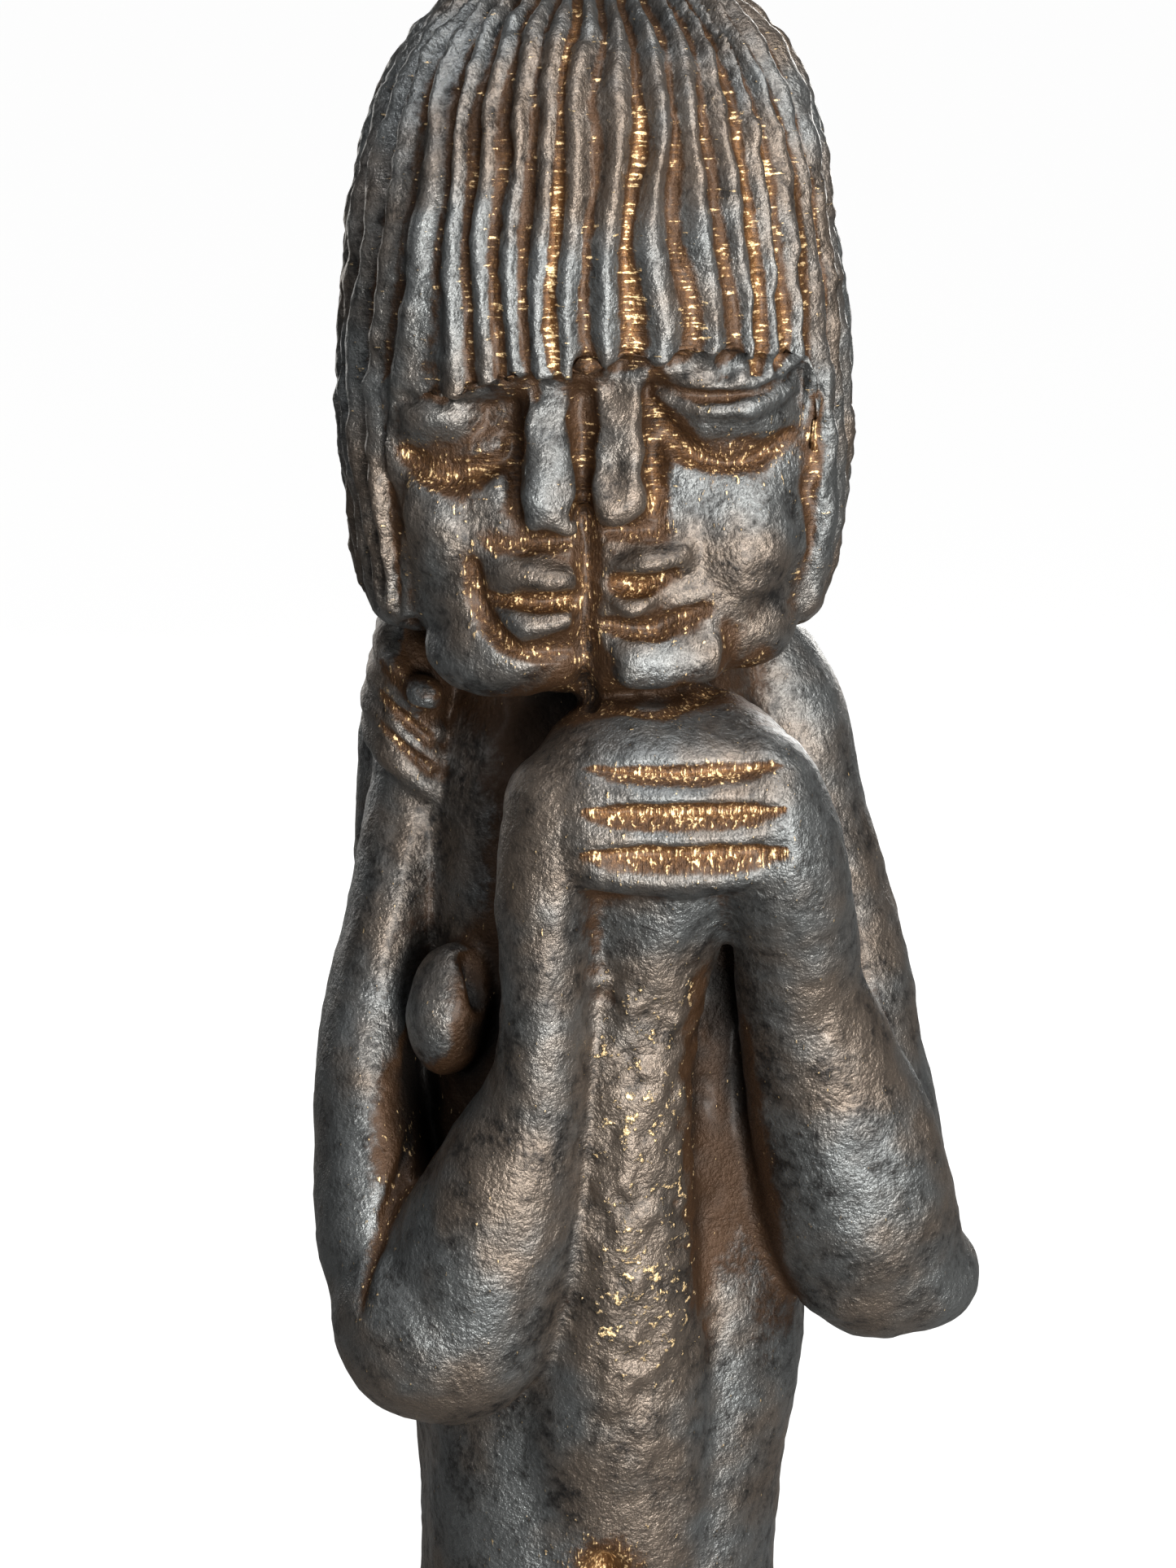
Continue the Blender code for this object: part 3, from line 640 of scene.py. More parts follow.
@dataclass
class Arms:
    """Both figures' arms, with the chest and the breast between the front pair."""

    def lay(self, wax: Wax) -> None:
        """Lays the arms and the chest.

        Args:
            wax: Where the shells go.
        """
        self.lay_left(wax)
        self.lay_right(wax)
        self.lay_back(wax)
        wax.limb([(1.0, -13.4, 164, 9.0, 5.0), (1.4, -15.4, 180, 8.2, 6.2),
                  (1.6, -17.2, 196, 6.8, 6.4), (1.9, -18.2, 212, 6.4, 6.2),
                  (3.2, -19.4, 224, 6.8, 5.8), (4.8, -21.4, 233, 8.4, 5.8)])

    def lay_left(self, wax: Wax) -> None:
        """The arm on the left of the view: upper arm, elbow and rising forearm."""
        wax.limb([(-16.0, -1, 240.0, 4.0, 5.4), (-16.9, -2, 234.0, 4.1, 5.8),
                  (-18.9, -4, 225.0, 4.3, 6.0), (-21.0, -6, 215.0, 4.4, 6.2),
                  (-21.7, -8, 209.0, 4.8, 6.4), (-21.2, -10, 201.0, 5.4, 6.8),
                  (-20.8, -12, 194.0, 5.6, 7.0), (-18.6, -14, 188.5, 5.8, 7.2)])
        wax.limb([(-12.6, -17, 188.0, 8.6, 9.0), (-10.6, -19, 196.0, 8.2, 8.2),
                  (-8.4, -21, 204.5, 6.6, 6.6), (-6.6, -22, 210.5, 5.0, 5.4),
                  (-5.7, -23.5, 216.5, 4.2, 4.8), (-5.6, -24, 224.0, 4.1, 4.7),
                  (-5.4, -24, 231.5, 4.6, 5.0), (-4.2, -23.5, 239.0, 4.8, 5.6)])
        wax.blob((-14.8, -16.5, 187.8), (10.2, 9.6, 10.2))

    def lay_right(self, wax: Wax) -> None:
        """The arm on the right of the view, whose elbow stands out."""
        wax.limb([(15.8, 3, 244.0, 5.6, 6.6), (18.0, 2.5, 239.0, 5.7, 6.8),
                  (19.9, 2, 231.0, 5.7, 6.9), (21.9, 1, 224.0, 5.7, 7.0),
                  (23.8, 0, 217.0, 5.7, 7.2), (25.0, -2, 208.8, 5.8, 7.4),
                  (26.4, -4, 200.0, 6.2, 7.6), (28.2, -7, 190.4, 6.0, 7.4)])
        wax.limb([(26.4, -10.5, 190.4, 8.2, 7.4), (24.2, -12, 196.0, 9.2, 8.2),
                  (22.3, -14, 204.0, 8.6, 7.8), (19.8, -16, 212.4, 7.3, 6.6),
                  (17.8, -18.5, 219.4, 6.0, 5.6), (16.8, -21, 226.4, 5.6, 5.4),
                  (15.2, -23.6, 233.6, 6.0, 5.8), (12.8, -24, 240.0, 6.0, 6.0)])
        wax.blob((29.4, -8.6, 187.6), (6.8, 7.6, 5.0), (0, -14, 0))
        wax.blob((24.0, -10.4, 188.8), (6.8, 7.4, 4.6), (0, 14, 0))

    def lay_back(self, wax: Wax) -> None:
        """The second figure's arms, plainer, with their elbows low at the back."""
        for side, lift in ((-1, 0.0), (1, -3.0)):
            wax.limb([(side * 13.5, 9, 240 + lift, 5.0, 5.0),
                      (side * 15.5, 12, 228 + lift, 5.0, 5.2),
                      (side * 17.0, 15, 212 + lift, 5.2, 5.4),
                      (side * 17.5, 17, 200 + lift, 5.8, 6.0)])
            wax.limb([(side * 18.0, 15, 200 + lift, 5.6, 6.0),
                      (side * 19.0, 11, 212 + lift, 4.8, 5.2),
                      (side * 18.6, 7, 226 + lift, 4.3, 4.6),
                      (side * 18.0, 3.5, 240 + lift, 4.2, 4.4)])
            wax.blob((side * 17.4, 17.0, 198 + lift), (6.4, 6.4, 6.6))

    def lay_breast(self, wax: Wax) -> None:
        """The breast between the near upper arm and forearm."""
        wax.blob((-13.8, -13.6, 216.8), (4.0, 4.4, 6.4), (0, 8, 0))

    def strokes(self) -> list[Stroke]:
        """The pocket over the breast and the folds round the elbows."""
        return [
            Stroke(((-11.6, -15, 222.4, 1.7, 1.8), (-10.7, -15, 218.6, 1.7, 1.8)), 0.2),
            Stroke(((-22.6, -10, 190.5, 1.1, 0.4), (-20.6, -16, 196.5, 1.4, 0.9),
                    (-17.4, -18, 203.5, 1.2, 0.7), (-14.8, -18, 208.5, 1.0, 0.4)), 0.4),
        ]


@dataclass
class HairCap:
    """One cap of hair for both faces, with locks that run from a whorl down to the hem.

    Attributes:
        locks: How many locks go round.
        depth: Depth of the grooves between them, in parts.
        whorl_back: How far behind the middle the locks start, in parts.
        hem: Height of the hem, in parts.
        crown: Height of the crown, in parts.
        fringe: Height of the fringe at the middle, in parts.
        fringe_rise: How much the fringe rises for each part to the right.
        seed: Seed of the locks' own differences.
        window_front: Y where the cut for the faces starts, in parts.
        window_deep: How far back it goes, in parts.
        half_wide: Half width of the hair's level outline, in parts.
        half_deep: Half depth of that outline, in parts.
        squareness: How square it is; 2 is an ellipse.
    """

    locks: int = 44
    depth: float = 1.55
    whorl_back: float = 4.0
    hem: float = 252.0
    crown: float = 309.6
    fringe: float = 276.6
    fringe_rise: float = 0.09
    seed: int = 7
    window_front: float = -40.0
    window_deep: float = 31.0
    half_wide: float = 22.9
    half_deep: float = 23.8
    squareness: float = 2.6

    def head(self, wax: Wax) -> None:
        """Lays the head inside the hair, with the jaw that both half faces share.

        Args:
            wax: Where the shell goes.
        """
        wax.stack([
            (246.6, 0, -9.5, 6.6, 7.6, 2.2, 0), (249, 0, -9.0, 13.2, 11.4, 2.5, 0),
            (254, 0, -8.0, 17.2, 13.2, 2.9, 0), (260, 0, -7.0, 19.2, 14.1, 3.1, 0),
            (266, 0, -6.0, 20.0, 14.4, 3.3, 0), (272, 0, -5.0, 20.4, 14.0, 3.4, 0),
            (281, 0, -4.0, 20.4, 15.2, 3.2, 0), (292, 0, -2.0, 16.0, 14.0, 2.4, 0)])

    def window_outline(self) -> list[tuple[float, float]]:
        """X and Z round the window, in parts; the fringe has a blunt end for each lock."""
        rng = np.random.default_rng(self.seed)
        left = [(-17.6, 244), (-17.9, 256), (-18.3, 266), (-18.6, 272), (-18.0, 274.4)]
        right = [(17.6, 276.8), (18.2, 273), (18.1, 264), (17.9, 254), (17.6, 244)]
        middle = []
        x = -16.6
        while x < 16.0:
            width = rng.uniform(2.4, 3.4)
            low = 276.7 + 0.115 * x - 0.006 * x * x + rng.uniform(-0.4, 0.4)
            middle += [(x, low + 0.2), (x + 0.25 * width, low), (x + 0.75 * width, low)]
            x += width
        return left + [point for point in middle if point[0] < 16.6] + right

    def shell(self) -> bpy.types.Mesh:
        """The cap, open at the front.

        Returns:
            The cap's mesh, in metres.
        """
        wax = Wax()
        wax.stack([
            (250.9, -0.2, 2.5, 18.4, 19.0, 2.6, 0), (251.9, -0.2, 2.0, 20.4, 21.4, 2.6, 0),
            (254, -0.2, 1.4, 21.6, 22.4, 2.6, 0), (260, -0.2, 0.8, 22.6, 23.2, 2.6, 0),
            (267, -0.2, 0.4, 23.3, 23.8, 2.6, 0), (274, -0.3, 0.1, 23.1, 24.1, 2.6, 0),
            (281, -0.4, 0.0, 22.5, 24.0, 2.5, 0), (289, -0.5, 0.0, 21.4, 23.0, 2.4, 0),
            (296, -0.4, 0.2, 19.8, 21.2, 2.3, 0), (301, -0.1, 0.6, 17.6, 18.8, 2.2, 0),
            (304.6, 0.1, 1.0, 14.8, 15.8, 2.1, 0), (307.2, 0.2, 1.4, 11.2, 12.0, 2.0, 0),
            (308.8, 0.2, 1.8, 7.2, 7.8, 2.0, 0), (self.crown, 0.2, 2.0, 2.8, 3.0, 2.0, 0)])
        mesh = bpy.data.meshes.new("hair")
        wax.shells.to_mesh(mesh)
        wax.shells.free()
        hair = bpy.data.objects.new("hair", mesh)
        bpy.context.scene.collection.objects.link(hair)

        window = bmesh.new()
        front = [window.verts.new(MEASURE.to_world((x, self.window_front, z)))
                 for x, z in self.window_outline()]
        face = window.faces.new(front)
        deep = bmesh.ops.extrude_face_region(window, geom=[face])
        moved = [v for v in deep["geom"] if isinstance(v, bmesh.types.BMVert)]
        bmesh.ops.translate(window, verts=moved, vec=(0, self.window_deep * MEASURE.part, 0))
        bmesh.ops.recalc_face_normals(window, faces=window.faces)
        cutter_mesh = bpy.data.meshes.new("window")
        window.to_mesh(cutter_mesh)
        window.free()
        cutter = bpy.data.objects.new("window", cutter_mesh)
        bpy.context.scene.collection.objects.link(cutter)
        cut = hair.modifiers.new("window", "BOOLEAN")
        cut.operation = "DIFFERENCE"
        cut.object = cutter
        made = taken(hair)
        bpy.data.objects.remove(cutter, do_unlink=True)
        return made

    def on_hair(self, points: np.ndarray) -> np.ndarray:
        """How far each point lies on the hair, and not on the faces or shoulders.

        Args:
            points: Rows of X, Y and Z in parts.

        Returns:
            Shares from 0 to 1.
        """
        x, y, z = points.T
        power = self.squareness
        out = (np.abs(x / self.half_wide) ** power
               + np.abs((y - 0.4) / self.half_deep) ** power) ** (1 / power)
        edge = self.fringe + self.fringe_rise * x - 2.6
        above = step_up(z, edge, edge + 0.8) * np.maximum(
            step_up(out, 0.945, 0.975), step_up(z, edge + 4.0, edge + 6.0))
        window = step_up(-y, 7.0, 10.0) * step_up(-np.abs(x), -18.4, -17.4)
        beside = step_up(out, 0.90, 0.95) * (1.0 - window)
        return np.maximum(above, beside) * step_up(z, self.hem - 1.2, self.hem + 0.4)

    def comb(self, skin: Skin) -> None:
        """Combs the grooves between the locks into the skin.

        Args:
            skin: The skin that is worked.
        """
        rng = np.random.default_rng(self.seed)
        x, y, z = skin.points.T
        lift = step_up(z, 280.0, self.crown)
        back = self.whorl_back * lift
        angle = np.arctan2(x, -(y - back))
        reach = np.hypot(x, y - back)
        wave = 0.16 * np.sin(z / 8.5 + 5.0 * angle) + 0.12 * np.sin(z / 5.1 - 3.0 * angle + 1.3)
        wave += 0.35 * np.sin(3.0 * angle + 0.4) + 0.22 * np.sin(7.0 * angle + 2.1)
        wave += 0.22 * Wander((4.6, 4.6, 8.0), 11).at(skin.points)
        turn = angle * self.locks / (2 * math.pi) + wave
        number = np.round(turn).astype(int)
        off = np.abs(turn - number)
        own = rng.uniform(0.75, 1.2, 4 * self.locks)[number % (4 * self.locks)]
        wide = rng.uniform(0.40, 0.50, 4 * self.locks)[number % (4 * self.locks)]
        bright = rng.uniform(0.35, 1.0, 4 * self.locks)[number % (4 * self.locks)]
        worn = 0.85 + 0.3 * Wander((6.0, 6.0, 12.0), 12).at(skin.points)
        groove = 1.0 - step_up(off, 0.08, wide)
        fade_low = np.where(number % 2 == 0, 3.0, 9.0)
        fade = step_up(reach, fade_low, fade_low + 5.0)
        mask = fade * self.on_hair(skin.points)
        lumps = 0.34 * Wander((1.8, 1.8, 2.6), 13).at(skin.points) * step_up(off, 0.15, 0.4)
        lumps += 0.20 * Wander((0.9, 0.9, 1.1), 14).at(skin.points)
        skin.push(mask * (self.depth * own * worn * groove + lumps))
        # Painted light: locks towards the right, where the key light falls, get more rubbed gold
        # and show brighter; those on the left stay darker.
        bright *= 0.45 + 0.55 * step_up(x, -16.0, 2.0)
        bright *= 0.60 + 0.40 * (1.0 - step_up(z, 288.0, 304.0))
        bright *= 1.25 + 0.6 * Wander((2.4, 2.4, 5.0), 15).at(skin.points)
        share = mask * np.exp(-(off / 0.26) ** 2) * np.clip(bright, 0.35, 1.0)
        skin.rubbed = np.maximum(skin.rubbed, share)
        skin.level = np.maximum(skin.level, step_up(mask, 0.1, 0.5))


@dataclass
class HalfFaces:
    """Two half faces beside a seam: on each a flat nose, a lowered lid, lips and a chin."""

    def lay(self, wax: Wax) -> None:
        """Lays the raised forms of both half faces.

        Args:
            wax: Where the shells go.
        """
        self.lay_noses(wax)
        self.lay_lids(wax)
        self.lay_mouths(wax)
        self.lay_jaws(wax)

    def lay_noses(self, wax: Wax) -> None:
        """Two flat noses side by side."""
        wax.slab((-5.2, -19.6, 269.8), (2.0, 3.2, 6.0), (-9, 2, 6), 0.9)
        wax.slab((-4.8, -20.5, 264.4), (2.4, 3.1, 1.9), (-4, 5, 4), 0.9)
        wax.slab((1.2, -19.6, 270.4), (2.0, 3.2, 5.8), (-9, -2, -6), 0.9)
        wax.slab((1.4, -20.4, 265.2), (2.3, 3.1, 1.8), (-4, -4, -4), 0.9)
        wax.slab((-1.9, -17.7, 270.4), (1.8, 3.0, 6.8), (-9, 0, 0), 0.4)

    def lay_lids(self, wax: Wax) -> None:
        """Lowered lids: one plain, one heavy and layered under its brow."""
        wax.blob((-13.7, -15.9, 272.2), (4.8, 4.1, 3.2), (0, -4, -18))
        wax.blob((10.3, -16.2, 271.9), (6.9, 4.2, 2.5), (0, 3, 13))
        wax.limb([(4.2, -18.9, 276.4, 0.9, 1.3), (8.2, -19.6, 275.3, 1.2, 1.9),
                  (12.4, -18.9, 275.5, 1.2, 1.9), (15.8, -16.4, 276.4, 0.9, 1.4)])
        wax.limb([(4.8, -19.0, 273.9, 0.8, 1.2), (8.6, -19.7, 272.9, 1.0, 1.7),
                  (12.8, -18.9, 273.1, 1.0, 1.7), (15.6, -16.6, 274.2, 0.8, 1.2)])
        wax.limb([(-15.8, -15.8, 274.6, 2.2, 2.8), (-8.0, -18.8, 276.0, 2.3, 3.0),
                  (0.0, -19.8, 277.2, 2.4, 3.0), (8.0, -19.2, 278.0, 2.4, 3.0),
                  (15.6, -16.2, 277.8, 2.2, 2.8)])
        for side in (-1, 1):
            wax.limb([(side * 17.4, -12.6, 255, 2.2, 2.6), (side * 18.4, -14.0, 264, 2.2, 2.8),
                      (side * 18.8, -14.4, 274.5, 1.8, 2.8)])
        wax.blob((7.8, -20.4, 278.5), (1.2, 2.4, 1.1))

    def lay_mouths(self, wax: Wax) -> None:
        """Two half mouths that end at the seam."""
        wax.limb([(-10.0, -18.8, 258.2, 0.9, 1.3), (-7.4, -20.3, 258.8, 1.35, 2.2),
                  (-4.8, -21.0, 258.6, 1.3, 2.1), (-3.0, -21.1, 258.4, 0.9, 1.4)])
        wax.limb([(-9.0, -19.2, 254.9, 0.9, 1.4), (-6.6, -20.4, 254.3, 1.4, 2.3),
                  (-3.4, -21.0, 254.8, 1.1, 1.7)])
        wax.limb([(1.0, -21.0, 259.4, 0.7, 1.4), (3.8, -21.0, 260.0, 1.1, 2.0),
                  (6.3, -20.2, 260.3, 1.3, 2.0)])
        wax.limb([(1.0, -21.0, 256.2, 0.7, 1.4), (2.2, -21.2, 255.9, 0.9, 1.7),
                  (3.8, -20.8, 256.5, 0.7, 1.3)])

    def lay_jaws(self, wax: Wax) -> None:
        """A rounded chin, a square chin and the cheeks beside them."""
        wax.blob((-8.0, -15.9, 251.6), (7.8, 5.6, 5.0), (0, -6, -12))
        wax.slab((5.2, -17.4, 251.1), (5.4, 4.8, 2.8), (4, -3, 8), 2.5)
        wax.blob((11.6, -14.6, 253.6), (5.6, 4.6, 5.0), (0, 20, 14))
        wax.blob((11.4, -16.6, 260.8), (5.6, 4.4, 6.6), (0, 8, 16))
        wax.blob((-13.6, -16.0, 262.4), (4.4, 4.2, 6.4), (0, -8, -18))

    def strokes(self) -> list[Stroke]:
        """Seam, lid creases, folds, mouth lines and the hollows round the chins."""
        level, upright = Streaks.LEVEL, Streaks.UPRIGHT
        return [
            Stroke(((-2.0, -20, 276.4, 1.3, 0.5), (-1.9, -20, 270.0, 1.3, 0.8),
                    (-1.9, -20, 264.4, 1.4, 0.8)), 0.5, level),
            Stroke(((-1.9, -20, 277.0, 1.2, 0.9), (-1.9, -20, 266.0, 1.3, 1.3),
                    (-1.7, -20, 262.0, 1.7, 1.3), (-1.5, -20, 257.0, 1.6, 1.2),
                    (-1.7, -20, 251.5, 1.8, 1.6), (-1.8, -20, 247.2, 1.7, 1.4)), 0.5, level),
            Stroke(((-17.2, -15, 254, 1.1, 0.3), (-18.0, -15, 260, 1.2, 0.5),
                    (-17.8, -15, 266, 1.0, 0.4), (-18.3, -15, 273, 1.2, 0.4)), 0.35, level),
            Stroke(((17.0, -15, 254, 1.0, 0.3), (18.2, -15, 260, 0.9, 0.5),
                    (17.8, -15, 266, 1.2, 0.5), (18.4, -15, 273, 1.0, 0.4)), 0.45, level),
            Stroke(((-3.6, -20, 247.0, 1.2, 0.5), (0.2, -20, 247.4, 1.3, 0.8),
                    (5.0, -20, 247.4, 1.3, 0.9), (10.4, -20, 247.6, 1.2, 0.7),
                    (13.6, -17, 249.4, 1.0, 0.3)), 0.75, upright),
            Stroke(((-17.0, -15, 268.6, 1.2, 0.5), (-15.2, -15, 267.4, 1.9, 1.0),
                    (-12.0, -15, 267.1, 2.0, 1.2), (-8.8, -15, 268.2, 1.6, 1.1),
                    (-7.6, -15, 270.3, 1.2, 0.8)), 0.62, upright),
            Stroke(((3.9, -15, 273.0, 1.1, 0.7), (5.6, -15, 270.2, 1.5, 1.0),
                    (8.6, -15, 268.4, 1.7, 1.1), (12.4, -15, 268.2, 1.8, 1.1),
                    (16.0, -15, 270.0, 1.2, 0.6)), 0.66, upright),
            Stroke(((5.0, -15, 274.9, 0.8, 0.5), (8.8, -15, 273.9, 0.9, 0.7),
                    (13.0, -15, 274.2, 0.9, 0.7), (15.8, -15, 275.1, 0.7, 0.4)), 0.35),
            Stroke(((-7.9, -20, 275.8, 1.2, 0.9), (-7.9, -20, 270.0, 1.4, 1.1),
                    (-7.9, -20, 264.6, 1.2, 0.7)), 0.55, level),
            Stroke(((4.2, -20, 276.0, 0.9, 0.6), (4.3, -20, 270.0, 1.1, 0.9),
                    (4.4, -20, 264.4, 1.2, 0.6)), 0.65, level),
            Stroke(((-11.4, -19, 259.4, 1.2, 0.6), (-11.0, -19, 256.6, 1.7, 1.2),
                    (-9.9, -19, 253.9, 1.5, 1.1), (-7.3, -19, 252.0, 1.3, 0.9),
                    (-3.1, -19, 251.8, 1.2, 0.8)), 0.55, upright),
            Stroke(((-10.2, -19, 256.5, 0.9, 0.8), (-6.2, -19, 256.3, 1.0, 1.2),
                    (-2.7, -19, 256.5, 1.0, 1.0)), 0.68, upright),
            Stroke(((0.9, -19, 257.9, 0.9, 0.8), (3.3, -19, 257.7, 1.1, 1.1),
                    (5.8, -19, 258.6, 0.9, 0.6)), 0.72, upright),
            Stroke(((0.1, -19, 254.2, 1.0, 0.8), (4.0, -19, 253.9, 1.3, 1.0),
                    (8.4, -19, 255.3, 1.3, 0.6)), 0.55, upright),
            Stroke(((-2.9, -19, 261.6, 1.2, 0.5), (-6.6, -19, 261.2, 1.3, 0.6),
                    (-9.8, -19, 261.4, 1.0, 0.3)), 0.55, upright),
            Stroke(((0.4, -19, 262.4, 1.1, 0.5), (4.4, -19, 262.4, 1.1, 0.4)), 0.5, upright),
            Stroke(((10.8, -17, 253.4, 1.6, 0.3), (10.9, -17, 250.0, 1.6, 0.4)), 0.35),
        ]


@dataclass
class Hands:
    """The clasped hands below the chins and the second figure's hands on the shoulders.

    Attributes:
        low: Height of the lowest finger's underside, in parts.
        pitch: Distance from finger to finger, in parts.
        count: How many fingers show.
        left: Left end of the grooves between them, in parts.
        right: Right end of the grooves, in parts.
        front: The fingers' front, in parts.
        deep: Half depth of the clasped hands, in parts.
        tallest: Half height of the lowest groove, in parts.
    """

    low: float = 232.5
    pitch: float = 3.75
    count: int = 4
    left: float = -2.2
    right: float = 15.0
    front: float = -30.6
    deep: float = 8.2
    tallest: float = 1.75

    def lay(self, wax: Wax) -> None:
        """Lays all the hands.

        Args:
            wax: Where the shells go.
        """
        middle = (self.left + self.right) / 2 - 0.8
        back = self.front + self.deep
        wax.stack([
            (231.6, middle + 0.4, back + 0.6, 9.0, self.deep - 2.2, 2.6, 0),
            (233.6, middle + 0.2, back, 12.0, self.deep - 0.5, 2.7, 0),
            (238.0, middle, back, 13.0, self.deep, 2.7, 0),
            (241.8, middle - 0.2, back + 0.4, 12.2, self.deep, 2.6, 0),
            (244.4, middle - 0.2, back + 1.6, 10.4, self.deep - 0.4, 2.5, 0),
            (246.0, middle - 0.2, back + 3.2, 8.2, self.deep - 1.4, 2.4, 0),
            (246.9, middle, back + 5.0, 5.6, self.deep - 3.0, 2.2, 0)])
        wax.blob((-17.0, -2.4, 244.2), (4.4, 5.6, 7.2), (0, 4, 0))
        for k, out in enumerate((0.0, 0.7, 1.1, 0.9)):
            drop = 2.7 * k
            wax.limb([(-19.0 - out, -0.6, 249.6 - drop, 1.4, 1.5),
                      (-19.2 - out, -4.6, 248.4 - drop, 1.5, 1.5),
                      (-17.8 - 0.5 * out, -7.2, 246.3 - drop, 1.4, 1.5),
                      (-15.2, -7.0, 243.8 - drop, 1.2, 1.3)])
        wax.blob((-15.9, -9.4, 245.3), (1.9, 2.1, 1.7))
        wax.blob((17.4, 7.0, 241.0), (4.4, 5.0, 6.0))

    def strokes(self) -> list[Stroke]:
        """Lens-shaped grooves between the clasped fingers, and grooves between the fingers of the
        hand on the shoulder.
        """
        span = self.right - self.left
        out = []
        for k in range(1, self.count):
            z = self.low + self.pitch * k
            tall = self.tallest - 0.25 * (k - 1)
            out.append(Stroke((
                (self.left, -30, z, 0.4 * tall, 0.3),
                (self.left + 0.2 * span, -30, z, 0.9 * tall, 1.0),
                (self.left + 0.5 * span, -30, z - 0.1, tall, 1.25),
                (self.left + 0.8 * span, -30, z, 0.9 * tall, 1.0),
                (self.right, -30, z + 0.1, 0.4 * tall, 0.3)), 0.86, Streaks.UPRIGHT, 0.12, 0.45,
                3.2, 0.2))
        for k in range(3):
            drop = 2.7 * k
            out.append(Stroke(((-20.4, -5, 247.6 - drop, 0.8, 0.3),
                               (-18.4, -5, 245.9 - drop, 1.0, 0.7),
                               (-15.6, -5, 243.6 - drop, 0.8, 0.4)), 0.55))
        return out


@dataclass(frozen=True)
class CastSurface:
    """What casting and handling leave on the skin, above the size that bump can show.

    Attributes:
        lump: Height of the hand-worked unevenness, in parts.
        pit: Depth of the pits in the chest, in parts.
        chisel: Depth of the chisel facets on noses and lids, in parts.
    """

    lump: float = 0.30
    pit: float = 0.50
    chisel: float = 0.50

    def wear(self, skin: Skin) -> np.ndarray:
        """Works unevenness, pits and chisel marks into the skin.

        Args:
            skin: The skin that is worked.

        Returns:
            How pitted each point is, from 0 to 1.
        """
        x, y, z = skin.points.T
        figure = step_up(z, 1.0, 6.0)
        depth = self.lump * Wander((7.0, 7.0, 9.0), 21).at(skin.points)
        depth += 0.45 * self.lump * Wander((2.6, 2.6, 3.4), 22).at(skin.points)
        nose = step_up(-y, 20.2, 21.4) * step_up(z, 261, 263) * (1 - step_up(z, 276, 278))
        nose *= 1 - step_up(np.abs(x + 1.8), 6.4, 7.6)
        depth += self.chisel * nose * Wander((1.7, 3.0, 2.3), 23).at(skin.points)
        face = step_up(-y, 14, 17) * step_up(z, 246, 250) * (1 - step_up(z, 277, 279))
        depth += 0.4 * self.chisel * face * Wander((2.2, 2.2, 1.6), 24).at(skin.points)
        depth += 0.2 * self.lump * Wander((1.1, 1.1, 1.2), 27).at(skin.points)
        chest = step_up(-y, 8, 13) * step_up(z, 168, 190) * (1 - step_up(z, 222, 230))
        chest *= 1 - step_up(np.abs(x - 3.6), 3.0, 8.0)
        small = Wander((1.3, 1.3, 1.6), 25).at(skin.points)
        pits = step_up(Wander((1.5, 1.5, 1.7), 26).at(skin.points), 0.35, 0.75)
        depth += self.pit * (0.25 + 0.75 * chest) * (0.7 * small + 0.5 * pits)
        skin.push(depth * figure)
        skin.write()
        return chest


@dataclass(frozen=True)
class Finish:
    """A finish: what every one of them needs to build its nodes."""

    @staticmethod
    def bare(name: str) -> bpy.types.Material:
        """A new material whose tree holds no nodes.

        Args:
            name: The material's name.

        Returns:
            The material.
        """
        material = bpy.data.materials.new(name)
        material.use_nodes = True
        material.node_tree.nodes.clear()
        return material

    @staticmethod
    def linear(code: str) -> tuple[float, float, float, float]:
        """An sRGB hex colour as a linear one.

        Args:
            code: Six hex digits after a hash.

        Returns:
            Red, green, blue and 1.
        """
        values = [int(code[i:i + 2], 16) / 255 for i in (1, 3, 5)]
        curve = [v / 12.92 if v <= 0.04045 else ((v + 0.055) / 1.055) ** 2.4 for v in values]
        return (*curve, 1.0)


def add_node(tree: bpy.types.NodeTree, kind: str, settings: dict | None = None,
             links: dict | None = None) -> bpy.types.Node:
    """Adds a node with its settings and links.

    Args:
        tree: The tree that it goes in.
        kind: The node's type.
        settings: Properties of the node by name, and sockets' values by name or number.
        links: The output socket that feeds each input, by name or number.

    Returns:
        The node.
    """
    node = tree.nodes.new(kind)
    for key, value in (settings or {}).items():
        if isinstance(key, str) and hasattr(node, key) and key not in node.inputs:
            setattr(node, key, value)
    for key, value in (settings or {}).items():
        if not isinstance(key, str) or key in node.inputs:
            node.inputs[key].default_value = value
    for key, source in (links or {}).items():
        tree.links.new(source, node.inputs[key])
    return node


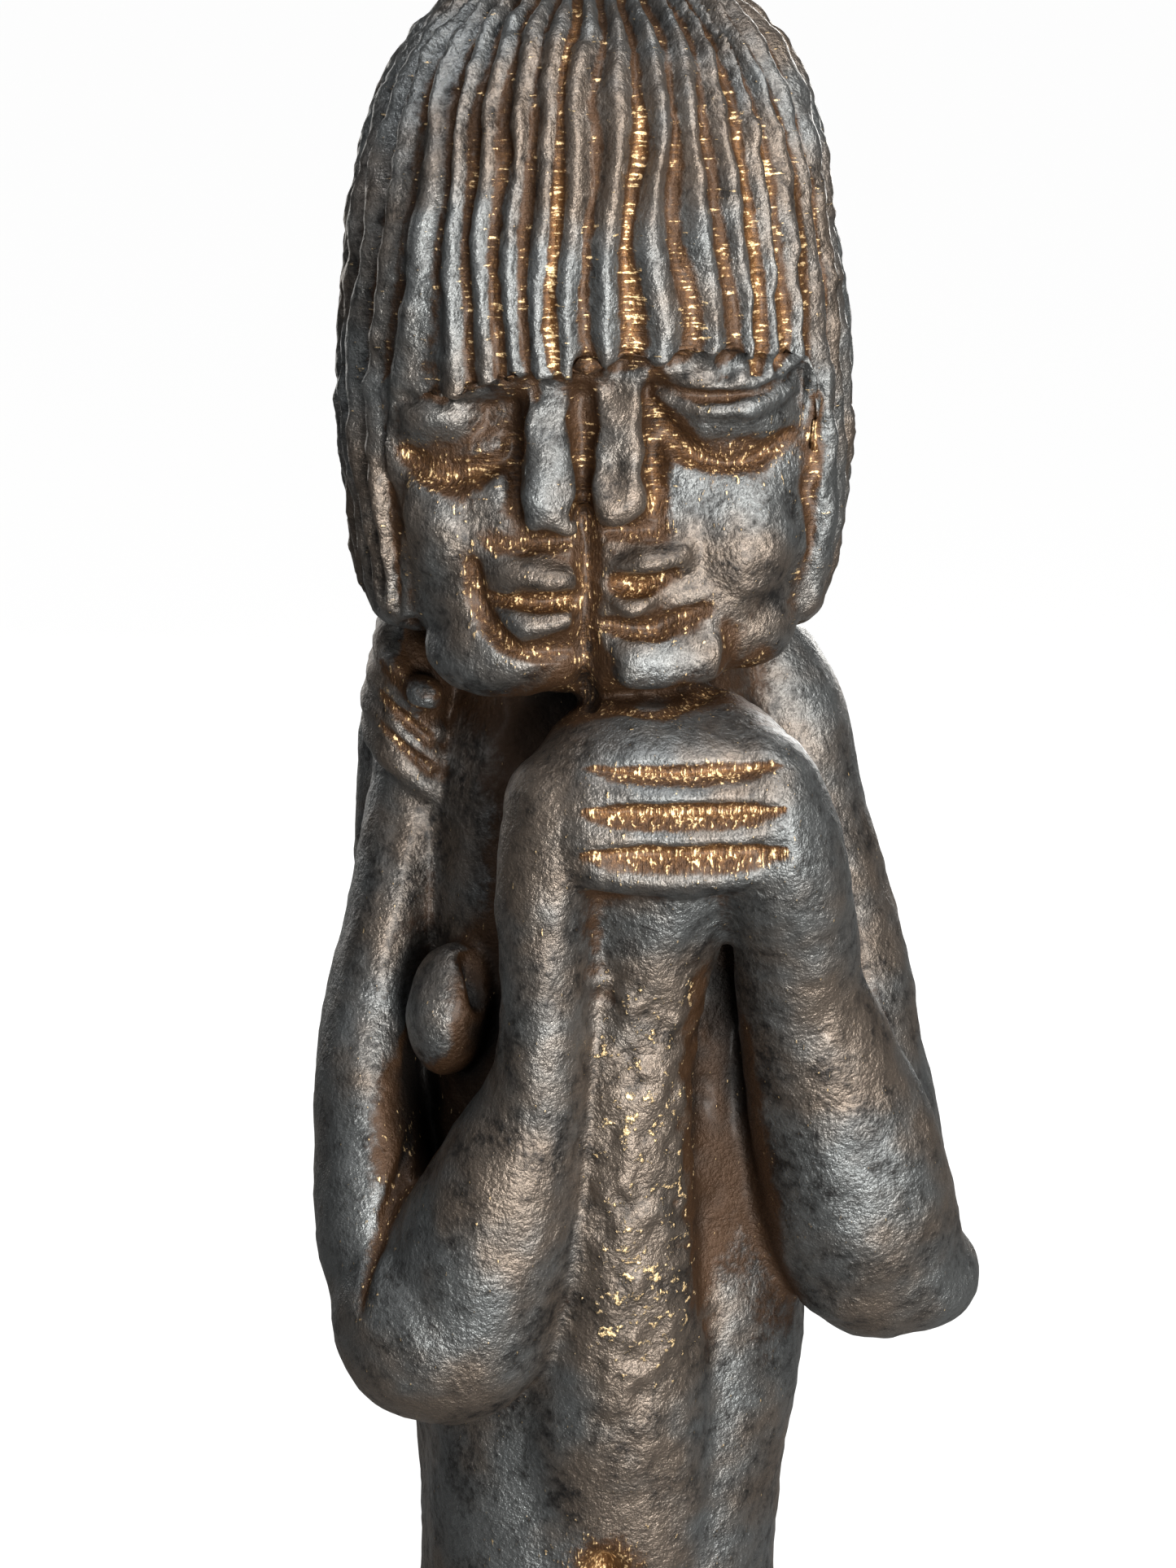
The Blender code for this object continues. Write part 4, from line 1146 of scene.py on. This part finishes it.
@dataclass(frozen=True)
class PatinatedBronze(Finish):
    """Cast bronze with a dark sulphide patina, waxed, and rubbed to bare metal in its hollows.

    The skin is grey-blue with a soft sheen, hollows are brown, and where the tool has rubbed them
    they are gold with fine ripples across. Where the casting shuts in, painted shade darkens the
    colour to charcoal, umber and near-black.
    """

    name: str = "cast_bronze_dark_patina"
    cool: str = "#696c6d"
    warm: str = "#6d635a"
    charcoal: str = "#242323"
    painted_shade: str = "#14100d"
    umber: str = "#422d1b"
    bronze: str = "#7d5731"
    gold: str = "#ffdfaa"
    mottle_mm: float = 5.0
    blotch_mm: float = 14.0
    speck_mm: float = 1.3
    grain_mm: float = 0.5
    ripple_mm: float = 0.28
    ripple_long_mm: float = 1.8
    relief: float = 0.7
    relief_mm: float = 0.35
    wax: float = 0.10
    wax_rough: float = 0.25

    def build(self) -> bpy.types.Material:
        """Builds the material.

        Returns:
            The material.
        """
        material = self.bare(self.name)
        tree = material.node_tree
        place = add_node(tree, "ShaderNodeTexCoord").outputs["Object"]
        rubbed, level, fine, wide, pitted, sheltered = (
            self.stored(tree, name) for name in STORED)
        blotch = self.noise(tree, place, self.blotch_mm, 3.0, 0.6)
        mottle = self.noise(tree, place, self.mottle_mm, 5.0, 0.62)
        speck = self.noise(tree, place, self.speck_mm, 4.0, 0.6)
        grain = self.noise(tree, place, self.grain_mm, 3.0, 0.65)
        ripple = self.ripples(tree, place, level)

        # Darkening: patina mottling and brown patina in the hollows, with painted shade where the
        # casting shuts in: charcoal, umber and, deepest, near-black.
        warmth = self.mask(tree, ((blotch, 1.0), (pitted, 0.25)), 0.0, 0.40, 0.64)
        # Charcoal: random mottling of the patina, deepened as painted shade where the casting shuts
        # in.
        dark = self.mask(tree, ((mottle, 1.0), (speck, 0.9), (grain, 0.6), (fine, 0.25),
                                (sheltered, 0.5)), -1.30, -0.20, 0.35)
        # Umber: brown patina in the rubbed and hollow places, and brown painted shade where the
        # casting shuts in, such as the gaps between arms, trunk and head.
        brown = self.mask(tree, ((rubbed, 2.4), (sheltered, 3.2), (wide, 0.5), (fine, 0.5),
                                 (mottle, 0.9), (grain, 0.6)), -1.35, 0.0, 0.7)
        # Near-black painted shade in the most shut-in places.
        painted_shade = self.mask(tree, ((sheltered, 1.1), (fine, 0.25), (wide, 0.30)), 0.0, 0.35, 1.0)
        # What rubbing bares: dull bronze, bright ripples, and flecks on the chest's high points. In
        # the hair the rubbed share also holds painted light, more gold towards the right.
        bronze = self.mask(tree, ((rubbed, 1.2), (ripple, 1.2), (grain, 1.0), (fine, 0.15),
                                  (speck, 0.8)), -1.50, 0.50, 1.45)
        gold = self.mask(tree, ((rubbed, 0.7), (ripple, 2.4), (grain, 1.6), (speck, 1.2)),
                         -2.68, 0.58, 0.94)
        fleck = self.mask(tree, ((speck, 1.0), (grain, 0.5), (blotch, 0.2), (pitted, 0.22)),
                          -1.16, 0.0, 0.10)

        colour = self.mixed(tree, warmth, self.linear(self.cool), self.linear(self.warm))
        for share, code in ((dark, self.charcoal), (brown, self.umber), (painted_shade, self.painted_shade),
                            (bronze, self.bronze), (gold, self.gold), (fleck, self.gold)):
            colour = self.mixed(tree, share, colour, self.linear(code))

        rough = self.summed(tree, ((bronze, -0.12), (grain, 0.25), (brown, 0.10), (dark, 0.08)),
                            0.27)
        metal = self.summed(tree, ((gold, 0.15), (bronze, 0.15), (brown, -0.25)), 0.80)
        deep = add_node(tree, "ShaderNodeMath", {"operation": "MULTIPLY"},
                        {0: ripple, 1: rubbed}).outputs[0]
        height = self.summed(tree, ((grain, 0.8), (speck, 0.6), (mottle, 0.5), (deep, 1.2),
                                    (fleck, 0.3)), 0.0)
        bump = add_node(tree, "ShaderNodeBump",
                        {"Strength": self.relief, "Distance": self.relief_mm / 1000},
                        {"Height": height}).outputs["Normal"]
        shader = add_node(tree, "ShaderNodeBsdfPrincipled",
                          {"Coat Weight": self.wax, "Coat Roughness": self.wax_rough},
                          {"Base Color": colour, "Roughness": rough, "Metallic": metal,
                           "Normal": bump})
        add_node(tree, "ShaderNodeOutputMaterial", {}, {"Surface": shader.outputs["BSDF"]})
        return material

    def stored(self, tree: bpy.types.NodeTree, name: str) -> bpy.types.NodeSocket:
        """A number that the casting stores at its points, by name."""
        node = add_node(tree, "ShaderNodeAttribute", {"attribute_name": name})
        return node.outputs["Fac"]

    def noise(self, tree: bpy.types.NodeTree, place: bpy.types.NodeSocket, size_mm: float,
              detail: float, rough: float) -> bpy.types.NodeSocket:
        """Noise of one size.

        Args:
            tree: The tree.
            place: Where the pattern reads its place.
            size_mm: Size of its largest features.
            detail: How many finer sizes go with them.
            rough: How strong the finer ones are.

        Returns:
            The noise, about 0.5.
        """
        node = add_node(tree, "ShaderNodeTexNoise",
                        {"Scale": 1000 / size_mm, "Detail": detail, "Roughness": rough},
                        {"Vector": place})
        return node.outputs["Fac"]

    def ripples(self, tree: bpy.types.NodeTree, place: bpy.types.NodeSocket,
                level: bpy.types.NodeSocket) -> bpy.types.NodeSocket:
        """Fine ripples that stand in level hollows and lie in upright ones.

        Args:
            tree: The tree.
            place: Where the pattern reads its place.
            level: 1 where the ripples run level.

        Returns:
            The ripples' height, from 0 to 1.
        """
        short, long = 1000 / self.ripple_mm, 1000 / self.ripple_long_mm
        out = []
        for scale in ((short, short, long), (long, long, short)):
            laid = add_node(tree, "ShaderNodeMapping", {"Scale": scale}, {"Vector": place})
            node = add_node(tree, "ShaderNodeTexNoise",
                            {"Scale": 1.0, "Detail": 2.0, "Roughness": 0.55, "Distortion": 0.25},
                            {"Vector": laid.outputs["Vector"]})
            out.append(node.outputs["Fac"])
        both = add_node(tree, "ShaderNodeMix", {"data_type": "FLOAT"},
                        {0: level, 2: out[0], 3: out[1]})
        return both.outputs[0]

    def mask(self, tree: bpy.types.NodeTree,
             parts: tuple[tuple[bpy.types.NodeSocket, float], ...], start: float, low: float,
             high: float) -> bpy.types.NodeSocket:
        """A weighted sum, stepped to a share.

        Args:
            tree: The tree.
            parts: Sockets and their weights.
            start: What the sum starts from.
            low: The sum that gives 0.
            high: The sum that gives 1.

        Returns:
            The share.
        """
        return self.stepped(tree, self.summed(tree, parts, start), low, high)

    @staticmethod
    def summed(tree: bpy.types.NodeTree, parts: tuple[tuple[bpy.types.NodeSocket, float], ...],
               start: float) -> bpy.types.NodeSocket:
        """A weighted sum.

        Args:
            tree: The tree.
            parts: Sockets and their weights.
            start: What the sum starts from.

        Returns:
            The sum.
        """
        total = None
        for source, weight in parts:
            links = {0: source} if total is None else {0: source, 2: total}
            settings = {"operation": "MULTIPLY_ADD", 1: weight}
            if total is None:
                settings[2] = start
            total = add_node(tree, "ShaderNodeMath", settings, links).outputs[0]
        return total

    @staticmethod
    def stepped(tree: bpy.types.NodeTree, value: bpy.types.NodeSocket, low: float, high: float
                ) -> bpy.types.NodeSocket:
        """A smooth step from 0 at low to 1 at high."""
        node = add_node(tree, "ShaderNodeMapRange",
                        {"interpolation_type": "SMOOTHSTEP", "From Min": low, "From Max": high},
                        {"Value": value})
        return node.outputs["Result"]

    @staticmethod
    def mixed(tree: bpy.types.NodeTree, share: bpy.types.NodeSocket,
              first: tuple | bpy.types.NodeSocket, second: tuple | bpy.types.NodeSocket
              ) -> bpy.types.NodeSocket:
        """Two colours mixed.

        Args:
            tree: The tree.
            share: How much of the second.
            first: A colour or the socket that gives it.
            second: A colour or the socket that gives it.

        Returns:
            The mixed colour.
        """
        settings: dict = {"data_type": "RGBA"}
        links: dict = {0: share}
        for slot, colour in ((6, first), (7, second)):
            (settings if isinstance(colour, tuple) else links)[slot] = colour
        return add_node(tree, "ShaderNodeMix", settings, links).outputs[2]


@dataclass(frozen=True)
class WhiteBoard(Finish):
    """Matt white board, lit from below, that lies under the casting and runs far behind it.

    Attributes:
        name: The material's name.
        white: Its colour.
        shade: Its colour where its own light is off.
        glow: How bright its own light looks.
        cast: How much of that light falls on the casting.
    """

    name: str = "white_board"
    white: str = "#ffffff"
    shade: str = "#5c5c5c"
    glow: float = 0.96
    cast: float = 0.02

    def build(self) -> bpy.types.Material:
        """Builds the material.

        Returns:
            The material.
        """
        material = self.bare(self.name)
        tree = material.node_tree
        seen = add_node(tree, "ShaderNodeLightPath").outputs["Is Camera Ray"]
        glow = add_node(tree, "ShaderNodeMix", {"data_type": "FLOAT", 2: self.cast, 3: self.glow},
                        {0: seen}).outputs[0]
        place = add_node(tree, "ShaderNodeTexCoord").outputs["Object"]
        tooth = add_node(tree, "ShaderNodeTexNoise", {"Scale": 900.0, "Detail": 2.0},
                         {"Vector": place}).outputs["Fac"]
        bump = add_node(tree, "ShaderNodeBump", {"Strength": 0.03, "Distance": 0.0002},
                        {"Height": tooth}).outputs["Normal"]
        shader = add_node(tree, "ShaderNodeBsdfPrincipled",
                          {"Base Color": self.linear(self.shade), "Roughness": 0.8,
                           "Emission Color": self.linear(self.white)},
                          {"Normal": bump, "Emission Strength": glow})
        add_node(tree, "ShaderNodeOutputMaterial", {}, {"Surface": shader.outputs["BSDF"]})
        return material


@dataclass
class Casting:
    """The whole casting in one skin.

    Attributes:
        grain: Size of the skin's facets, in parts.
        large: How far the large forms are softened into each other, in parts.
        small: How far the small forms are, in parts.
        fine_reach: Reach of the smoothing that finds fine hollows, in parts.
        wide_reach: Reach of the smoothing that finds wide hollows, in parts.
        fine_full: Depth at which a fine hollow counts in full, in parts.
        wide_full: Depth at which a wide hollow counts in full, in parts.
        shelter_reach: Length of the rays that find sheltered places, in parts.
        shelter_grain: Facets of the coarse copy that sends them, in parts.
        seen_front: Y in front of which every facet is kept, in parts.
        seen_low: Height above which every facet is kept, in parts.
    """

    grain: float = 0.44
    large: float = 1.6
    small: float = 0.62
    fine_reach: float = 0.9
    wide_reach: float = 3.2
    fine_full: float = 0.25
    wide_full: float = 0.9
    shelter_reach: float = 12.0
    shelter_grain: float = 1.6
    seen_front: float = 4.0
    seen_low: float = 158.0
    trunk: Trunk = field(default_factory=Trunk)
    arms: Arms = field(default_factory=Arms)
    hair: HairCap = field(default_factory=HairCap)
    faces: HalfFaces = field(default_factory=HalfFaces)
    hands: Hands = field(default_factory=Hands)
    surface: CastSurface = field(default_factory=CastSurface)

    def build(self) -> bpy.types.Object:
        """Builds the casting.

        Returns:
            The finished object.
        """
        skin = Skin(self.fused())
        log.info("skin fused: %d points", len(skin.points))
        self.hair.comb(skin)
        skin.write()
        skin.press(self.faces.strokes() + self.hands.strokes() + self.arms.strokes()
                   + self.trunk.strokes())
        skin.write()
        pitted = self.surface.wear(skin)
        self.mark_patina_and_shade(skin, pitted)
        return self.finished(skin)

    def fused(self) -> bpy.types.Mesh:
        """Fuses the large forms, lays the small ones on and fuses again.

        Returns:
            The skin.
        """
        wax = Wax()
        self.trunk.lay(wax)
        self.arms.lay(wax)
        self.hair.head(wax)
        large = wax.fused(self.grain, self.large)
        wax = Wax()
        wax.shells.from_mesh(large)
        wax.shells.from_mesh(self.hair.shell())
        self.arms.lay_breast(wax)
        self.faces.lay(wax)
        self.hands.lay(wax)
        return wax.fused(self.grain, self.small)

    def mark_patina_and_shade(self, skin: Skin, pitted: np.ndarray) -> None:
        """Stores where the skin is hollow, rubbed, pitted and shut in, for the patina and for the
        painted shade in shut-in places.

        Args:
            skin: The worked skin.
            pitted: How pitted each point is.
        """
        fine = skin.smoothed(self.fine_reach, self.grain)
        wide = skin.smoothed(self.wide_reach, self.grain)
        shelter = skin.sheltered(self.shelter_reach, self.shelter_grain)
        found = (np.clip(skin.rubbed, 0, 1), np.clip(skin.level, 0, 1),
                 np.clip(fine / self.fine_full, -1, 1), np.clip(wide / self.wide_full, -1, 1),
                 pitted, shelter)
        for name, values in zip(STORED, found):
            skin.store(name, values)
        log.info("weathered: %d numbers stored at each point", len(STORED))

    def finished(self, skin: Skin) -> bpy.types.Object:
        """Drops facets where little shows and cuts the underside flat.

        Args:
            skin: The worked skin.

        Returns:
            The object.
        """
        figure = bpy.data.objects.new("janus_casting", skin.mesh)
        bpy.context.scene.collection.objects.link(figure)
        _, y, z = skin.points.T
        kept = (y < self.seen_front) & (z > self.seen_low)
        group = figure.vertex_groups.new(name="kept")
        group.add(np.nonzero(kept)[0].tolist(), 1.0, "REPLACE")
        sizes = np.empty(len(skin.mesh.polygons), int)
        skin.mesh.polygons.foreach_get("loop_total", sizes)
        every = int((sizes - 2).sum())
        fewer = figure.modifiers.new("facets", "DECIMATE")
        fewer.ratio = min(1.0, MOST_TRIANGLES / every)
        fewer.use_collapse_triangulate = True
        fewer.vertex_group = "kept"
        fewer.invert_vertex_group = True
        fewer.vertex_group_factor = 0.0
        mesh = taken(figure)
        self.cut_flat(mesh)
        mesh.shade_smooth()
        casting = bpy.data.objects.new("janus_casting", mesh)
        bpy.context.scene.collection.objects.link(casting)
        return casting

    @staticmethod
    def cut_flat(mesh: bpy.types.Mesh) -> None:
        """Cuts the casting flat at its underside, where Z is 0.

        Args:
            mesh: The mesh, in metres.
        """
        work = bmesh.new()
        work.from_mesh(mesh)
        every = work.verts[:] + work.edges[:] + work.faces[:]
        cut = bmesh.ops.bisect_plane(work, geom=every, plane_co=(0, 0, 0), plane_no=(0, 0, 1),
                                     clear_inner=True)
        rim = [e for e in cut["geom_cut"] if isinstance(e, bmesh.types.BMEdge)]
        bmesh.ops.edgeloop_fill(work, edges=rim)
        bmesh.ops.triangulate(work, faces=work.faces[:])
        bmesh.ops.recalc_face_normals(work, faces=work.faces[:])
        work.to_mesh(mesh)
        work.free()


@dataclass(frozen=True)
class Softbox:
    """A soft rectangular light.

    Attributes:
        name: Its name.
        place: Where it stands, in metres.
        size: Its width and height, in metres.
        power: Its power, in watts.
        tint: Its colour as sRGB hex.
    """

    name: str
    place: Point
    size: tuple[float, float]
    power: float
    tint: str

    def hang(self, target: Point) -> None:
        """Puts the light in the scene, turned to the target.

        Args:
            target: Where it points, in metres.
        """
        lamp = bpy.data.lights.new(self.name, "AREA")
        lamp.shape = "RECTANGLE"
        lamp.size, lamp.size_y = self.size
        lamp.energy = self.power
        lamp.color = Finish.linear(self.tint)[:3]
        item = bpy.data.objects.new(self.name, lamp)
        item.location = self.place
        way = Vector(target) - Vector(self.place)
        item.rotation_euler = way.to_track_quat("-Z", "Y").to_euler()
        bpy.context.scene.collection.objects.link(item)


@dataclass
class Studio:
    """White board, soft lights and the camera at the photograph's angle.

    Attributes:
        azimuth: Turn of the camera about Z, in degrees, from the front.
        elevation: Its height as an angle, in degrees.
        lens: Its lens, in millimetres, on a 36 mm sensor along the long side.
        distance: Its distance from the middle of the head, in metres.
        head: The middle of the head, in metres.
        head_pixel: Where the middle of the head is in the frame.
        frame: The frame's width and height, in pixels.
        sensor: Width of the camera's sensor, in millimetres.
        aim: Where the lights point, in metres.
        board_half: Half size of the board, in metres.
        room: The room's colour as sRGB hex.
        room_strength: How much light the room casts.
        room_seen: How bright the room looks.
        lights: The soft lights.
    """

    azimuth: float = -2.0
    elevation: float = 16.0
    lens: float = 84.0
    distance: float = 0.330
    head: Point = (0.0, 0.0, 0.286)
    head_pixel: tuple[float, float] = (733.0, 412.0)
    frame: tuple[int, int] = (1445, 1927)
    sensor: float = 36.0
    aim: Point = (0.0, -0.01, 0.25)
    board_half: float = 12.0
    room: str = "#ffffff"
    room_strength: float = 0.12
    room_seen: float = 1.0
    lights: tuple[Softbox, ...] = (
        Softbox("key", (0.50, -0.50, 0.72), (0.22, 0.34), 6.2, "#fffaf4"),
        Softbox("front", (0.26, -0.80, 0.12), (0.40, 0.40), 14.0, "#fffcf7"),
        Softbox("left_strip", (-0.60, -0.45, 0.60), (0.10, 0.60), 0.6, "#ffffff"),
        Softbox("top", (0.06, -0.25, 1.05), (0.30, 0.30), 3.2, "#ffffff"),
        Softbox("back", (0.25, 0.90, 0.40), (0.50, 0.50), 6.0, "#fffcf7"),
        Softbox("back_left", (-0.50, 0.80, 0.40), (0.40, 0.60), 1.6, "#fffcf7"),
    )

    def build(self) -> None:
        """Sets up the floor, the lights, the room and the camera."""
        self.floor()
        for light in self.lights:
            light.hang(self.aim)
        world = bpy.data.worlds.new("room")
        world.use_nodes = True
        tree = world.node_tree
        back = tree.nodes["Background"]
        back.inputs["Color"].default_value = Finish.linear(self.room)
        seen = add_node(tree, "ShaderNodeLightPath").outputs["Is Camera Ray"]
        strength = add_node(tree, "ShaderNodeMix", {"data_type": "FLOAT", 2: self.room_strength,
                                                    3: self.room_seen}, {0: seen}).outputs[0]
        tree.links.new(strength, back.inputs["Strength"])
        bpy.context.scene.world = world
        bpy.context.scene.view_settings.view_transform = "Standard"
        self.camera()

    def floor(self) -> None:
        """Lays the white board."""
        work = bmesh.new()
        bmesh.ops.create_grid(work, x_segments=8, y_segments=8, size=self.board_half)
        mesh = bpy.data.meshes.new("board")
        work.to_mesh(mesh)
        work.free()
        mesh.materials.append(WhiteBoard().build())
        board = bpy.data.objects.new("board", mesh)
        bpy.context.scene.collection.objects.link(board)

    def camera(self) -> None:
        """Places the camera so that the middle of the head falls on its pixel."""
        a, e = math.radians(self.azimuth), math.radians(self.elevation)
        back = Vector((math.sin(a) * math.cos(e), -math.cos(a) * math.cos(e), math.sin(e)))
        right = Vector((math.cos(a), math.sin(a), 0.0))
        up = back.cross(right)
        wide, high = self.frame
        focal = self.lens / self.sensor * high
        across = (self.head_pixel[0] - wide / 2) * self.distance / focal
        above = (high / 2 - self.head_pixel[1]) * self.distance / focal
        place = Vector(self.head) - across * right - above * up + self.distance * back
        lens = bpy.data.cameras.new("camera")
        lens.lens = self.lens
        lens.sensor_width = self.sensor
        lens.clip_start = 0.01
        camera = bpy.data.objects.new("camera", lens)
        camera.matrix_world = Matrix.Translation(place) @ Matrix((right, up, back)).transposed(
            ).to_4x4()
        bpy.context.scene.collection.objects.link(camera)
        bpy.context.scene.camera = camera


def main() -> None:
    """Builds the casting, dresses it and sets the studio round it."""
    logging.basicConfig(level=logging.INFO, format="%(name)s: %(message)s")
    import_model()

    casting = Casting().build()
    casting.data.materials.clear()
    casting.data.materials.append(PatinatedBronze().build())
    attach(casting, "root")
    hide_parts("janus_figure")
    log.info("casting: %d triangles", len(casting.data.polygons))

    Studio().build()
    log.info("studio: board, lights and camera")


if __name__ == "__main__":
    main()
